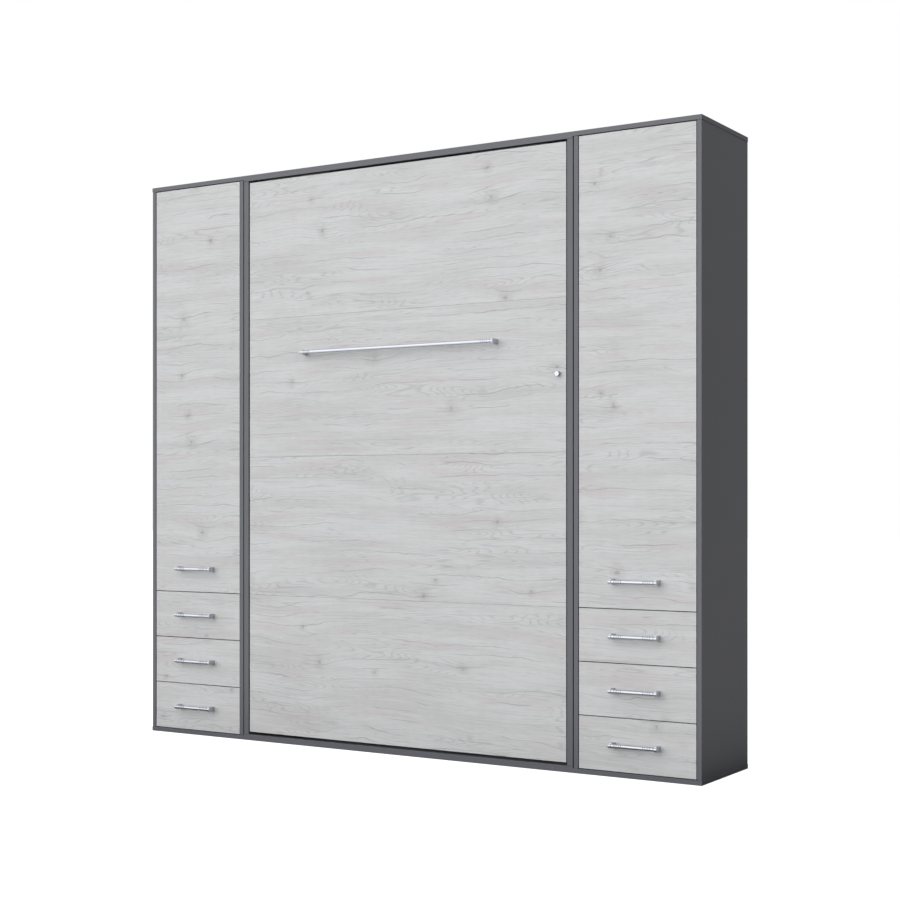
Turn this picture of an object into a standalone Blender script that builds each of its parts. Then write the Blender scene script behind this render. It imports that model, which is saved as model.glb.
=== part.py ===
"""A vertical murphy wall bed between two tall storage cabinets.

The bed is a steel frame with a slat base and a mattress, faced with four wide boards. It stands
upright in a shallow carcass and turns down on two axles near the floor, helped by two gas springs.
Each cabinet has a tall door over three drawers. Everything is in metres, +Z up, the front towards
-Y. The origin is the middle of the bottom board's underside.
"""

import math

import bmesh
import bpy
from mathutils import Matrix, Vector

# Fits
SEAT = 0.0003  # gap left between two pieces that touch
RUNNING = 0.0003  # radial gap of a pin in its hole
OVERCUT = 0.002  # how far a cutter passes the face that it cuts
WELD = 0.001  # how far two joined shapes of one piece overlap

# Mattress, which sets the size of the bed unit
MATTRESS_LENGTH = 2.000
MATTRESS_WIDTH = 1.200
MATTRESS_THICKNESS = 0.180
MATTRESS_SIDE_PLAY = 0.002
MATTRESS_FOOT_PLAY = 0.006
MATTRESS_EDGE_RADIUS = 0.015

# Carcass
DEPTH = 0.400
CABINET_WIDTH = 0.464
TOP_THICKNESS = 0.016  # over the cabinets
BASE_THICKNESS = 0.016  # under the cabinets
BED_TOP_THICKNESS = 0.022  # the same two boards in the bed unit, as thick as its sides
BED_BASE_THICKNESS = 0.022
BED_SIDE_THICKNESS = 0.022
CABINET_SIDE_THICKNESS = 0.016
SHELF_THICKNESS = 0.016
BACK_SHEET = 0.003
UNIT_SEAM = 0.004  # between the bed unit's sides and the cabinets
BOARD_OVERHANG = 0.0015  # top and bottom boards past the outer sides
SIDE_SETBACK = 0.001  # sides behind the front edge of the top board
REAR_RAIL_HEIGHT = 0.120
REAR_RAIL_THICKNESS = 0.016

# Fronts of the cabinets
FRONT_THICKNESS = 0.016
FRONT_SETBACK = 0.001  # behind the front edges of the sides
FRONT_GAP = 0.003
DRAWER_COUNT = 3
DRAWER_FRONT_HEIGHT = 0.178
DOOR_HANDLE_RISE = 0.090
SHELF_HEIGHT_SHARE = 0.52  # of the height inside the door compartment
SHELF_SETBACK = 0.020
HINGE_END_DISTANCE = 0.110

# Drawer boxes and the battens that carry them
BOX_HEIGHT = 0.125
BOX_RAISE = 0.018  # above the lower edge of the drawer front
BOX_LENGTH = 0.330
BOX_SIDE_THICKNESS = 0.012
BOX_BOTTOM_THICKNESS = 0.006
BOX_SIDE_CLEARANCE = 0.002
RUNNER_HEIGHT = 0.016
RUNNER_REACH = 0.008
RUNNER_RAISE = 0.060  # middle of the runner above the box's underside
RUNNER_LENGTH = 0.310

# Bed: front boards
BED_FRONT_THICKNESS = 0.016
BED_FRONT_SETBACK = 0.002
BED_FRONT_COUNT = 4
LOCK_BOARD = 3  # counted from the bottom; it carries the handle too
BED_FRONT_SEAM = 0.0006
BED_FRONT_SIDE_GAP = 0.005
BED_FRONT_LOW_GAP = 0.011
LEG_SLOT = 0.008  # gap over the front boards, where the legs lie

# Bed: steel frame and slat base
RAIL_WIDTH = 0.030
RAIL_DEPTH = 0.090
RAIL_WALL = 0.003
FRAME_RAISE = 0.041  # lower end of the frame above the lower end of the front boards
SLAT_COUNT = 13
SLAT_WIDTH = 0.080
SLAT_THICKNESS = 0.010
SLAT_BEARER_WIDTH = 0.046
SLAT_INSET = 0.002  # the slats in from the outer faces and ends of the bearers
SLAT_TOP = 0.050  # top of the slats over the front of the frame
SLAT_END_PLAY = 0.004  # the slat base clear of the ends of the frame
STRAP_WIDTH = 0.045
STRAP_THICKNESS = 0.0015
STRAP_TAB = 0.020
STRAP_HEIGHT_SHARE = 0.70  # of the mattress length

# Bed: pivots, gas springs, legs
SIDE_BAY = 0.058  # between the frame and the bed unit's side
PIVOT_BEHIND_FACE = 0.062
SWING_CLEARANCE = 0.0135
AXLE_RADIUS = 0.010
BEARING_RADIUS = 0.020
BEARING_LENGTH = 0.010
BRACKET_THICKNESS = 0.005
BRACKET_MARGIN = 0.016
MECHANISM_PLATE = 0.003
MECHANISM_MARGIN = 0.040
SPRING_ARM = 0.120  # from the axle to the spring's lower end
SPRING_ARM_ANGLE = math.radians(25)  # behind straight down, with the bed upright
SPRING_TOP_BEHIND = 0.080
SPRING_TOP_ABOVE = 0.600
SPRING_LAYER = 0.031  # middle of the spring in from the side
CYLINDER_RADIUS = 0.011
CYLINDER_LENGTH = 0.450
CYLINDER_EYE_WIDTH = 0.014
SPRING_PIN_RADIUS = 0.004
SPRING_EYE_RADIUS = 0.010
ROD_RADIUS = 0.005
ROD_INSIDE = 0.060  # length of rod inside the cylinder with the bed upright
LEG_THICKNESS = 0.004
LEG_WIDTH = 0.036
LEG_END_DISTANCE = 0.030  # leg pin in from the outside of the frame
LEG_BEHIND_FACE = 0.025
LEG_PIN_RADIUS = 0.005
LEG_WASHER_RADIUS = 0.012
LEG_HEAD_RADIUS = 0.009
LEG_HEAD_THICKNESS = 0.0012
FLOOR_CLEARANCE = 0.0005

# Handles and lock
HANDLE_RADIUS = 0.0065
DRAWER_HANDLE_STANDOFF = 0.030  # middle of the bar in front of the face
BED_HANDLE_STANDOFF = 0.035
POST_WIDTH = 0.010
POST_HEIGHT = 0.018
POST_END_DISTANCE = 0.007  # middle of a post from the end of the bar
DRAWER_HANDLE_LENGTH = 0.178
BED_HANDLE_LENGTH = 0.840
BED_HANDLE_RISE = 0.388  # above the lower edge of its front board
LOCK_RISE = 0.266
LOCK_EDGE_DISTANCE = 0.0285
LOCK_KNOB_RADIUS = 0.009
LOCK_KNOB_LENGTH = 0.015
LOCK_BARREL_RADIUS = 0.004
LOCK_CAM_LENGTH = 0.044
LOCK_CAM_WIDTH = 0.012
LOCK_CAM_THICKNESS = 0.003
MORTISE_DEPTH = 0.015
MORTISE_CLEARANCE = 0.003

ROUND_SEGMENTS = 20
SMOOTH_ANGLE = math.radians(35)  # edges sharper than this stay sharp

# Worked out: widths, from the middle outwards
FRAME_HALF = MATTRESS_WIDTH / 2 + MATTRESS_SIDE_PLAY + RAIL_WIDTH
BAY_HALF = FRAME_HALF + SIDE_BAY
BED_UNIT_HALF = BAY_HALF + BED_SIDE_THICKNESS
CABINET_IN = BED_UNIT_HALF + UNIT_SEAM
CABINET_OUT = CABINET_IN + CABINET_WIDTH
HALF_WIDTH = CABINET_OUT + BOARD_OVERHANG

# Worked out: heights
BED_FRONT_LOW = BED_BASE_THICKNESS + BED_FRONT_LOW_GAP
FRAME_LOW = BED_FRONT_LOW + FRAME_RAISE
MATTRESS_LOW = FRAME_LOW + RAIL_WIDTH
FRAME_HIGH = MATTRESS_LOW + MATTRESS_LENGTH + MATTRESS_FOOT_PLAY + RAIL_WIDTH
BED_FRONT_HIGH = FRAME_HIGH
BED_TOP_UNDERSIDE = BED_FRONT_HIGH + LEG_SLOT
BED_SIDE_LOW = BED_BASE_THICKNESS + SEAT
BED_SIDE_HIGH = BED_TOP_UNDERSIDE - SEAT
HEIGHT = BED_TOP_UNDERSIDE + BED_TOP_THICKNESS
TOP_UNDERSIDE = HEIGHT - TOP_THICKNESS
SIDE_LOW = BASE_THICKNESS + SEAT
SIDE_HIGH = TOP_UNDERSIDE - SEAT

# Worked out: depths
FRONT = -DEPTH / 2
BACK = DEPTH / 2
SIDE_FRONT = FRONT + SIDE_SETBACK
FRONT_FACE = SIDE_FRONT + FRONT_SETBACK
FRONT_BACK = FRONT_FACE + FRONT_THICKNESS
BED_FACE = SIDE_FRONT + BED_FRONT_SETBACK
FRAME_FRONT = BED_FACE + BED_FRONT_THICKNESS + SEAT
FRAME_BACK = FRAME_FRONT + RAIL_DEPTH
SLATS_BACK = FRAME_FRONT + SLAT_TOP
MATTRESS_FRONT = SLATS_BACK + SEAT
MATTRESS_BACK = MATTRESS_FRONT + MATTRESS_THICKNESS

# Worked out: drawers and doors
DRAWER_PITCH = DRAWER_FRONT_HEIGHT + FRONT_GAP
DRAWERS_LOW = BASE_THICKNESS + FRONT_GAP
DOOR_LOW = DRAWERS_LOW + DRAWER_COUNT * DRAWER_PITCH
DOOR_HIGH = TOP_UNDERSIDE - FRONT_GAP
DIVIDER_LOW = DOOR_LOW - FRONT_GAP / 2 - SHELF_THICKNESS / 2
SHELF_LOW = DOOR_LOW + SHELF_HEIGHT_SHARE * (DOOR_HIGH - DOOR_LOW)
FRONT_WIDTH = CABINET_WIDTH - 2 * CABINET_SIDE_THICKNESS - 2 * FRONT_GAP

# Worked out: the bed's axle. The lower corner of the front boards swings past the rear rail.
PIVOT_Y = BED_FACE + PIVOT_BEHIND_FACE
SWING_RADIUS = BACK - REAR_RAIL_THICKNESS - SWING_CLEARANCE - PIVOT_Y
PIVOT_Z = BED_FRONT_LOW + math.sqrt(SWING_RADIUS**2 - PIVOT_BEHIND_FACE**2)
BED_BOARD_HEIGHT = (
    BED_FRONT_HIGH - BED_FRONT_LOW - (BED_FRONT_COUNT - 1) * BED_FRONT_SEAM
) / BED_FRONT_COUNT
BED_BOARD_PITCH = BED_BOARD_HEIGHT + BED_FRONT_SEAM
LOCK_BOARD_LOW = BED_FRONT_LOW + (LOCK_BOARD - 1) * BED_BOARD_PITCH
BED_FRONT_HALF = BAY_HALF - BED_FRONT_SIDE_GAP
LOCK_X = BED_FRONT_HALF - LOCK_EDGE_DISTANCE
LOCK_Z = LOCK_BOARD_LOW + LOCK_RISE
CAM_FRONT = FRAME_FRONT + SEAT
CAM_TIP_RADIUS = math.hypot(LOCK_CAM_LENGTH, LOCK_CAM_WIDTH / 2)
CAM_ENTRY_RISE = math.sqrt(CAM_TIP_RADIUS**2 - (BAY_HALF - LOCK_X) ** 2)  # where its tip meets the side

# Worked out: gas springs, as (y, z) points
SPRING_LOW = Vector((
    PIVOT_Y + SPRING_ARM * math.sin(SPRING_ARM_ANGLE),
    PIVOT_Z - SPRING_ARM * math.cos(SPRING_ARM_ANGLE),
))
SPRING_HIGH = Vector((PIVOT_Y + SPRING_TOP_BEHIND, PIVOT_Z + SPRING_TOP_ABOVE))
SPRING_X = BAY_HALF - SPRING_LAYER

# Worked out: legs
LEG_LOW = BED_FRONT_HIGH + (LEG_SLOT - LEG_THICKNESS) / 2
LEG_PIN_X = FRAME_HALF - LEG_END_DISTANCE
LEG_PIN_Y = BED_FACE + LEG_BEHIND_FACE
LEG_LENGTH = PIVOT_Z + LEG_PIN_Y - PIVOT_Y - FLOOR_CLEARANCE

ANTHRACITE = ("anthracite_laminate", (0.083, 0.085, 0.091), 0.55, 0.0)
PALE_OAK = ("pale_oak_laminate", (0.60, 0.60, 0.59), 0.50, 0.0)
BOX_BOARD = ("drawer_board", (0.70, 0.70, 0.69), 0.60, 0.0)
CHROME = ("satin_chrome", (0.72, 0.73, 0.76), 0.22, 1.0)
ZINC_STEEL = ("zinc_plated_steel", (0.55, 0.56, 0.58), 0.38, 1.0)
BLACK_STEEL = ("black_coated_steel", (0.03, 0.03, 0.033), 0.48, 0.4)
BIRCH = ("birch_slats", (0.68, 0.52, 0.33), 0.55, 0.0)
TICKING = ("mattress_ticking", (0.80, 0.79, 0.76), 0.90, 0.0)
WEBBING = ("strap_webbing", (0.05, 0.05, 0.055), 0.85, 0.0)


def clear_scene():
    for obj in list(bpy.data.objects):
        bpy.data.objects.remove(obj, do_unlink=True)


def material(look):
    """The material of this look, made once."""
    name, colour, roughness, metallic = look
    found = bpy.data.materials.get(name)
    if found:
        return found
    made = bpy.data.materials.new(name)
    made.use_nodes = True
    shader = made.node_tree.nodes["Principled BSDF"]
    shader.inputs["Base Color"].default_value = (*colour, 1.0)
    shader.inputs["Roughness"].default_value = roughness
    shader.inputs["Metallic"].default_value = metallic
    made.diffuse_color = (*colour, 1.0)
    return made


def empty(name, location, parent=None):
    """A pivot that moving pieces hang on."""
    made = bpy.data.objects.new(name, None)
    bpy.context.scene.collection.objects.link(made)
    place(made, Vector(location), parent)
    return made


def place(obj, location, parent):
    """Puts obj at a world location. Parents are never turned or scaled."""
    obj.parent = parent
    base = Vector((0, 0, 0))
    while parent:
        base += parent.location
        parent = parent.parent
    obj.location = location - base


def add_mesh(name, mesh, look, location, parent=None):
    made = bpy.data.objects.new(name, mesh)
    bpy.context.scene.collection.objects.link(made)
    if not mesh.materials:
        mesh.materials.append(material(look))
    place(made, Vector(location), parent)
    return made


def mesh_from(bm, name, smooth=False):
    bmesh.ops.recalc_face_normals(bm, faces=bm.faces)
    mesh = bpy.data.meshes.new(name)
    bm.to_mesh(mesh)
    bm.free()
    if smooth:
        mesh.shade_smooth()
        mesh.set_sharp_from_angle(angle=SMOOTH_ANGLE)
    return mesh


def block_mesh(name, size):
    bm = bmesh.new()
    bmesh.ops.create_cube(bm, size=1, matrix=Matrix.Diagonal((*size, 1)))
    return mesh_from(bm, name)


def block(name, low, high, look, parent=None):
    """A rectangular board between two corners, with its origin in its middle."""
    low, high = Vector(low), Vector(high)
    return add_mesh(name, block_mesh(name, high - low), look, (low + high) / 2, parent)


def rod_mesh(name, radius, length, axis, segments=ROUND_SEGMENTS):
    """A round bar centred on the origin along an axis."""
    turn = Vector((0, 0, 1)).rotation_difference(Vector(axis)).to_matrix().to_4x4()
    bm = bmesh.new()
    bmesh.ops.create_cone(
        bm,
        cap_ends=True,
        segments=segments,
        radius1=radius,
        radius2=radius,
        depth=length,
        matrix=turn,
    )
    return mesh_from(bm, name, smooth=True)


def rod(name, radius, start, end, look, parent=None):
    start, end = Vector(start), Vector(end)
    along = end - start
    mesh = rod_mesh(name, radius, along.length, along.normalized())
    return add_mesh(name, mesh, look, (start + end) / 2, parent)


def outline_mesh(name, points, thickness, axis):
    """A flat outline extruded by its thickness. Points are on the plane across the axis."""
    bm = bmesh.new()
    if axis == "x":
        corners = [bm.verts.new((-thickness / 2, p, q)) for p, q in points]
        step = Vector((thickness, 0, 0))
    elif axis == "y":
        corners = [bm.verts.new((p, -thickness / 2, q)) for p, q in points]
        step = Vector((0, thickness, 0))
    else:
        corners = [bm.verts.new((p, q, -thickness / 2)) for p, q in points]
        step = Vector((0, 0, thickness))
    face = bm.faces.new(corners)
    extruded = bmesh.ops.extrude_face_region(bm, geom=[face])
    moved = [v for v in extruded["geom"] if isinstance(v, bmesh.types.BMVert)]
    bmesh.ops.translate(bm, verts=moved, vec=step)
    return mesh_from(bm, name)


def combine(obj, helper, operation):
    """Joins a helper shape to obj, or cuts it away. The helper isn't rendered."""
    helper.hide_render = True
    helper.display_type = "WIRE"
    modifier = obj.modifiers.new(f"{operation.lower()}_{helper.name}", "BOOLEAN")
    modifier.operation = operation
    modifier.solver = "EXACT"
    modifier.object = helper
    return obj


def join(obj, *helpers):
    for helper in helpers:
        combine(obj, helper, "UNION")


def cut(obj, *helpers):
    for helper in helpers:
        combine(obj, helper, "DIFFERENCE")


def finished_mesh(obj, name, smooth=False):
    """Obj's mesh with its modifiers applied, for copies to share. Obj and its helpers are removed."""
    bpy.context.view_layer.update()
    graph = bpy.context.evaluated_depsgraph_get()
    mesh = bpy.data.meshes.new_from_object(obj.evaluated_get(graph))
    mesh.transform(obj.matrix_world)
    mesh.name = name
    if smooth:
        mesh.shade_smooth()
        mesh.set_sharp_from_angle(angle=SMOOTH_ANGLE)
    helpers = [modifier.object for modifier in obj.modifiers]
    for used in [obj, *helpers]:
        bpy.data.objects.remove(used, do_unlink=True)
    return mesh


def drawer_low(index):
    """Lower edge of a drawer front, counted from the bottom."""
    return DRAWERS_LOW + index * DRAWER_PITCH


def runner_middle(index):
    return drawer_low(index) + BOX_RAISE + RUNNER_RAISE


def cabinet_inner_range(side):
    """Lowest and highest x between the sides of the cabinet on this side, -1 left and 1 right."""
    near = side * (CABINET_IN + CABINET_SIDE_THICKNESS)
    far = side * (CABINET_OUT - CABINET_SIDE_THICKNESS)
    return min(near, far), max(near, far)


def board_across(name, outer_face, cabinet_face, bed_face):
    """A board over all three units, cut down at both ends to the cabinets' thickness."""
    half = (
        (HALF_WIDTH, outer_face),
        (HALF_WIDTH, cabinet_face),
        (BED_UNIT_HALF, cabinet_face),
        (BED_UNIT_HALF, bed_face),
    )
    points = [*half, *((-x, z) for x, z in reversed(half))]
    middle = (outer_face + cabinet_face) / 2
    mesh = outline_mesh(name, [(x, z - middle) for x, z in points], DEPTH, "y")
    add_mesh(name, mesh, ANTHRACITE, (0, (FRONT + BACK) / 2, middle))


def make_boards_across():
    board_across("top_board", HEIGHT, TOP_UNDERSIDE, BED_TOP_UNDERSIDE)
    board_across("bottom_board", 0, BASE_THICKNESS, BED_BASE_THICKNESS)


def upright(name, x_low, x_high, z_low, z_high):
    return block(
        name,
        (x_low, SIDE_FRONT, z_low),
        (x_high, BACK, z_high),
        ANTHRACITE,
    )


def add_runners(panel, face, inwards):
    """Joins a batten for each drawer to the inner face of a cabinet side."""
    y_low = FRONT_BACK + BOX_SIDE_THICKNESS
    for index in range(DRAWER_COUNT):
        middle = runner_middle(index)
        reach = face + inwards * RUNNER_REACH
        root = face - inwards * WELD
        batten = block(
            f"{panel.name}_batten_{index + 1}",
            (min(root, reach), y_low, middle - RUNNER_HEIGHT / 2),
            (max(root, reach), y_low + RUNNER_LENGTH, middle + RUNNER_HEIGHT / 2),
            ANTHRACITE,
        )
        join(panel, batten)


def make_cabinet_carcass(side, word):
    near = side * CABINET_IN
    far = side * CABINET_OUT
    inner_face = near + side * CABINET_SIDE_THICKNESS
    outer_face = far - side * CABINET_SIDE_THICKNESS
    heights = (SIDE_LOW, SIDE_HIGH)
    inner = upright(f"cabinet_{word}_inner_side", min(near, inner_face), max(near, inner_face), *heights)
    outer = upright(f"cabinet_{word}_outer_side", min(far, outer_face), max(far, outer_face), *heights)
    add_runners(inner, inner_face, side)
    add_runners(outer, outer_face, -side)

    x_low, x_high = cabinet_inner_range(side)
    x_low, x_high = x_low + SEAT, x_high - SEAT
    sheet_front = BACK - BACK_SHEET
    block(
        f"cabinet_{word}_back",
        (x_low, sheet_front, SIDE_LOW),
        (x_high, BACK, SIDE_HIGH),
        ANTHRACITE,
    )
    block(
        f"cabinet_{word}_divider",
        (x_low, FRONT_BACK + SEAT, DIVIDER_LOW),
        (x_high, sheet_front - SEAT, DIVIDER_LOW + SHELF_THICKNESS),
        ANTHRACITE,
    )
    block(
        f"cabinet_{word}_shelf",
        (x_low, FRONT_BACK + SHELF_SETBACK, SHELF_LOW),
        (x_high, sheet_front - SEAT, SHELF_LOW + SHELF_THICKNESS),
        ANTHRACITE,
    )


def handle_mesh(name, length, standoff):
    """A round bar on two flat posts. The origin is on the face, midway between the posts."""
    bar_y = -standoff
    post_x = length / 2 - POST_END_DISTANCE
    bar = rod(name, HANDLE_RADIUS, (-length / 2, bar_y, 0), (length / 2, bar_y, 0), CHROME)
    for end in (-1, 1):
        foot = block(
            f"{name}_post_{end}",
            (end * post_x - POST_WIDTH / 2, bar_y, -POST_HEIGHT / 2),
            (end * post_x + POST_WIDTH / 2, -SEAT, POST_HEIGHT / 2),
            CHROME,
        )
        join(bar, foot)
    return finished_mesh(bar, name, smooth=True)


def drawer_box_mesh():
    """An open box with a groove along each side for its runner. The origin is in its middle."""
    width = CABINET_WIDTH - 2 * CABINET_SIDE_THICKNESS - 2 * BOX_SIDE_CLEARANCE
    half = Vector((width, BOX_LENGTH, BOX_HEIGHT)) / 2
    box = block("drawer_box", -half, half, BOX_BOARD)
    wall = BOX_SIDE_THICKNESS
    cavity = block(
        "drawer_cavity",
        (-half.x + wall, -half.y + wall, -half.z + BOX_BOTTOM_THICKNESS),
        (half.x - wall, half.y - wall, half.z + OVERCUT),
        BOX_BOARD,
    )
    cut(box, cavity)
    groove_bottom = half.x + BOX_SIDE_CLEARANCE - RUNNER_REACH - SEAT
    middle = RUNNER_RAISE - half.z
    half_groove = RUNNER_HEIGHT / 2 + SEAT
    for side in (-1, 1):
        ends = sorted((side * groove_bottom, side * (half.x + OVERCUT)))
        groove = block(
            f"drawer_groove_{side}",
            (ends[0], -half.y + wall - 2 * SEAT, middle - half_groove),
            (ends[1], half.y + OVERCUT, middle + half_groove),
            BOX_BOARD,
        )
        cut(box, groove)
    return finished_mesh(box, "drawer_box")


def make_drawers(side, word, front_mesh, box_mesh, pull_mesh):
    x_low, x_high = cabinet_inner_range(side)
    x = (x_low + x_high) / 2
    for index in range(DRAWER_COUNT):
        low = drawer_low(index)
        middle = low + DRAWER_FRONT_HEIGHT / 2
        name = f"drawer_{word}_{index + 1}"
        slide = empty(f"{name}_slide", (x, FRONT_FACE, middle))
        face_middle = FRONT_FACE + FRONT_THICKNESS / 2
        add_mesh(f"{name}_front", front_mesh, PALE_OAK, (x, face_middle, middle), slide)
        box_y = FRONT_BACK + SEAT + BOX_LENGTH / 2
        box_z = low + BOX_RAISE + BOX_HEIGHT / 2
        add_mesh(f"{name}_box", box_mesh, BOX_BOARD, (x, box_y, box_z), slide)
        add_mesh(f"{name}_handle", pull_mesh, CHROME, (x, FRONT_FACE, middle), slide)


def hinge_mesh(side):
    """A concealed hinge's arm: a plate on the cabinet's side and a flange behind the door.

    The origin is where the door's back plane meets the face of the side. The arm reaches
    towards the middle of the cabinet.
    """
    plate_thickness = 0.004
    plate_length = 0.055
    plate_height = 0.044
    arm_reach = 0.030
    arm_depth = 0.010
    arm_height = 0.016
    flange_radius = 0.0175
    inwards = -side

    def span(start, end):
        return sorted((inwards * start, inwards * end))

    plate = span(SEAT, SEAT + plate_thickness)
    arm = span(SEAT + plate_thickness - WELD, SEAT + arm_reach)
    hinge = block(
        f"hinge_{side}",
        (plate[0], SEAT, -plate_height / 2),
        (plate[1], SEAT + plate_length, plate_height / 2),
        ZINC_STEEL,
    )
    bar = block(
        f"hinge_arm_{side}",
        (arm[0], SEAT, -arm_height / 2),
        (arm[1], SEAT + arm_depth, arm_height / 2),
        ZINC_STEEL,
    )
    middle = inwards * (SEAT + arm_reach)
    flange = rod(
        f"hinge_flange_{side}",
        flange_radius,
        (middle, SEAT, 0),
        (middle, SEAT + plate_thickness, 0),
        ZINC_STEEL,
    )
    join(hinge, bar, flange)
    return finished_mesh(hinge, f"hinge_{side}")


def make_door(side, word, pull_mesh):
    x_low, x_high = cabinet_inner_range(side)
    hinge_face = x_high if side > 0 else x_low
    hinge_edge = hinge_face - side * FRONT_GAP
    axis = empty(f"door_{word}_axis", (hinge_edge, FRONT_FACE, DOOR_LOW))
    block(
        f"door_{word}",
        (x_low + FRONT_GAP, FRONT_FACE, DOOR_LOW),
        (x_high - FRONT_GAP, FRONT_BACK, DOOR_HIGH),
        PALE_OAK,
        axis,
    )
    pull_z = DOOR_LOW + DOOR_HANDLE_RISE
    add_mesh(f"door_{word}_handle", pull_mesh, CHROME, ((x_low + x_high) / 2, FRONT_FACE, pull_z), axis)

    mesh = hinge_mesh(side)
    heights = {"lower": DOOR_LOW + HINGE_END_DISTANCE, "upper": DOOR_HIGH - HINGE_END_DISTANCE}
    for level, z in heights.items():
        add_mesh(f"door_{word}_hinge_{level}", mesh, ZINC_STEEL, (hinge_face, FRONT_BACK, z))


def make_cabinets():
    front_mesh = block_mesh("drawer_front", (FRONT_WIDTH, FRONT_THICKNESS, DRAWER_FRONT_HEIGHT))
    box_mesh = drawer_box_mesh()
    pull_mesh = handle_mesh("cabinet_handle", DRAWER_HANDLE_LENGTH, DRAWER_HANDLE_STANDOFF)
    for side, word in ((-1, "left"), (1, "right")):
        make_cabinet_carcass(side, word)
        make_door(side, word, pull_mesh)
        make_drawers(side, word, front_mesh, box_mesh, pull_mesh)


def make_bed_carcass():
    """The bed unit's sides and the rails at its back, which are screwed to the wall."""
    heights = (BED_SIDE_LOW, BED_SIDE_HIGH)
    upright("bed_side_left", -BED_UNIT_HALF, -BAY_HALF, *heights)
    right = upright("bed_side_right", BAY_HALF, BED_UNIT_HALF, *heights)
    mortise = block(
        "lock_mortise",
        (
            BAY_HALF - OVERCUT,
            CAM_FRONT - MORTISE_CLEARANCE,
            LOCK_Z - LOCK_CAM_WIDTH / 2 - MORTISE_CLEARANCE,
        ),
        (
            BAY_HALF + MORTISE_DEPTH,
            CAM_FRONT + LOCK_CAM_THICKNESS + MORTISE_CLEARANCE,
            LOCK_Z + CAM_ENTRY_RISE + MORTISE_CLEARANCE,
        ),
        ANTHRACITE,
    )
    cut(right, mortise)
    rails = {
        "rear_rail_lower": BED_SIDE_LOW,
        "rear_rail_upper": BED_SIDE_HIGH - REAR_RAIL_HEIGHT,
    }
    for name, low in rails.items():
        block(
            name,
            (-BAY_HALF + SEAT, BACK - REAR_RAIL_THICKNESS, low),
            (BAY_HALF - SEAT, BACK, low + REAR_RAIL_HEIGHT),
            ANTHRACITE,
        )


def make_mechanism_plate(side, word):
    """A steel plate on the bed unit's side, with the bed's axle and the spring's upper pin."""
    outer = BAY_HALF - SEAT
    face = outer - MECHANISM_PLATE
    x = sorted((side * outer, side * face))
    plate = block(
        f"mechanism_plate_{word}",
        (x[0], PIVOT_Y - MECHANISM_MARGIN, PIVOT_Z - MECHANISM_MARGIN),
        (x[1], SPRING_HIGH.x + MECHANISM_MARGIN / 2, SPRING_HIGH.y + MECHANISM_MARGIN),
        BLACK_STEEL,
    )
    axle = rod(
        f"axle_{word}",
        AXLE_RADIUS,
        (side * (face + WELD), PIVOT_Y, PIVOT_Z),
        (side * (FRAME_HALF - RAIL_WALL + SEAT), PIVOT_Y, PIVOT_Z),
        BLACK_STEEL,
    )
    pin = rod(
        f"spring_pin_{word}",
        SPRING_PIN_RADIUS,
        (side * (face + WELD), SPRING_HIGH.x, SPRING_HIGH.y),
        (side * (SPRING_X - CYLINDER_EYE_WIDTH / 2), SPRING_HIGH.x, SPRING_HIGH.y),
        BLACK_STEEL,
    )
    join(plate, axle, pin)


def make_gas_spring(side, word):
    """The cylinder hangs on the upper pin, and the rod runs down to the bed's bracket."""
    x = side * SPRING_X
    top = Vector((x, SPRING_HIGH.x, SPRING_HIGH.y))
    foot = Vector((x, SPRING_LOW.x, SPRING_LOW.y))
    along = (foot - top).normalized()
    pivot = empty(f"gas_spring_{word}_pivot", top)
    slide = empty(f"gas_spring_{word}_slide", foot, pivot)

    mouth = top + along * CYLINDER_LENGTH
    neck = top + along * (SPRING_EYE_RADIUS - WELD)
    tube = rod(f"gas_spring_{word}_cylinder", CYLINDER_RADIUS, neck, mouth, BLACK_STEEL, pivot)
    half_eye = Vector((CYLINDER_EYE_WIDTH / 2, 0, 0))
    eye = rod(
        f"gas_spring_{word}_eye", SPRING_EYE_RADIUS, top - half_eye, top + half_eye, BLACK_STEEL
    )
    overcut = Vector((OVERCUT, 0, 0))
    hole = rod(
        f"gas_spring_{word}_hole",
        SPRING_PIN_RADIUS + RUNNING,
        top - half_eye - overcut,
        top + half_eye + overcut,
        BLACK_STEEL,
    )
    rod_end = mouth - along * ROD_INSIDE
    stroke_end = top + along * 2 * SPRING_EYE_RADIUS
    bore = rod(
        f"gas_spring_{word}_bore",
        ROD_RADIUS + RUNNING,
        stroke_end,
        mouth + along * OVERCUT,
        BLACK_STEEL,
    )
    join(tube, eye)
    cut(tube, hole, bore)

    stem = rod(f"gas_spring_{word}_rod", ROD_RADIUS, rod_end, foot, CHROME, slide)
    bracket_face = side * (FRAME_HALF + BRACKET_THICKNESS + SEAT)
    lug = rod(
        f"gas_spring_{word}_lug",
        SPRING_EYE_RADIUS,
        (bracket_face, foot.y, foot.z),
        (x + side * ROD_RADIUS, foot.y, foot.z),
        CHROME,
    )
    join(stem, lug)


def make_bed_fronts(pivot):
    """Four wide boards, one over the other. The third carries the handle and the lock."""
    for index in range(BED_FRONT_COUNT):
        low = BED_FRONT_LOW + index * BED_BOARD_PITCH
        board = block(
            f"bed_front_{index + 1}",
            (-BED_FRONT_HALF, BED_FACE, low),
            (BED_FRONT_HALF, BED_FACE + BED_FRONT_THICKNESS, low + BED_BOARD_HEIGHT),
            PALE_OAK,
            pivot,
        )
        if index + 1 == LOCK_BOARD:
            bore = rod(
                "lock_bore",
                LOCK_BARREL_RADIUS + RUNNING,
                (LOCK_X, BED_FACE - OVERCUT, LOCK_Z),
                (LOCK_X, BED_FACE + BED_FRONT_THICKNESS + OVERCUT, LOCK_Z),
                PALE_OAK,
            )
            cut(board, bore)


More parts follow.
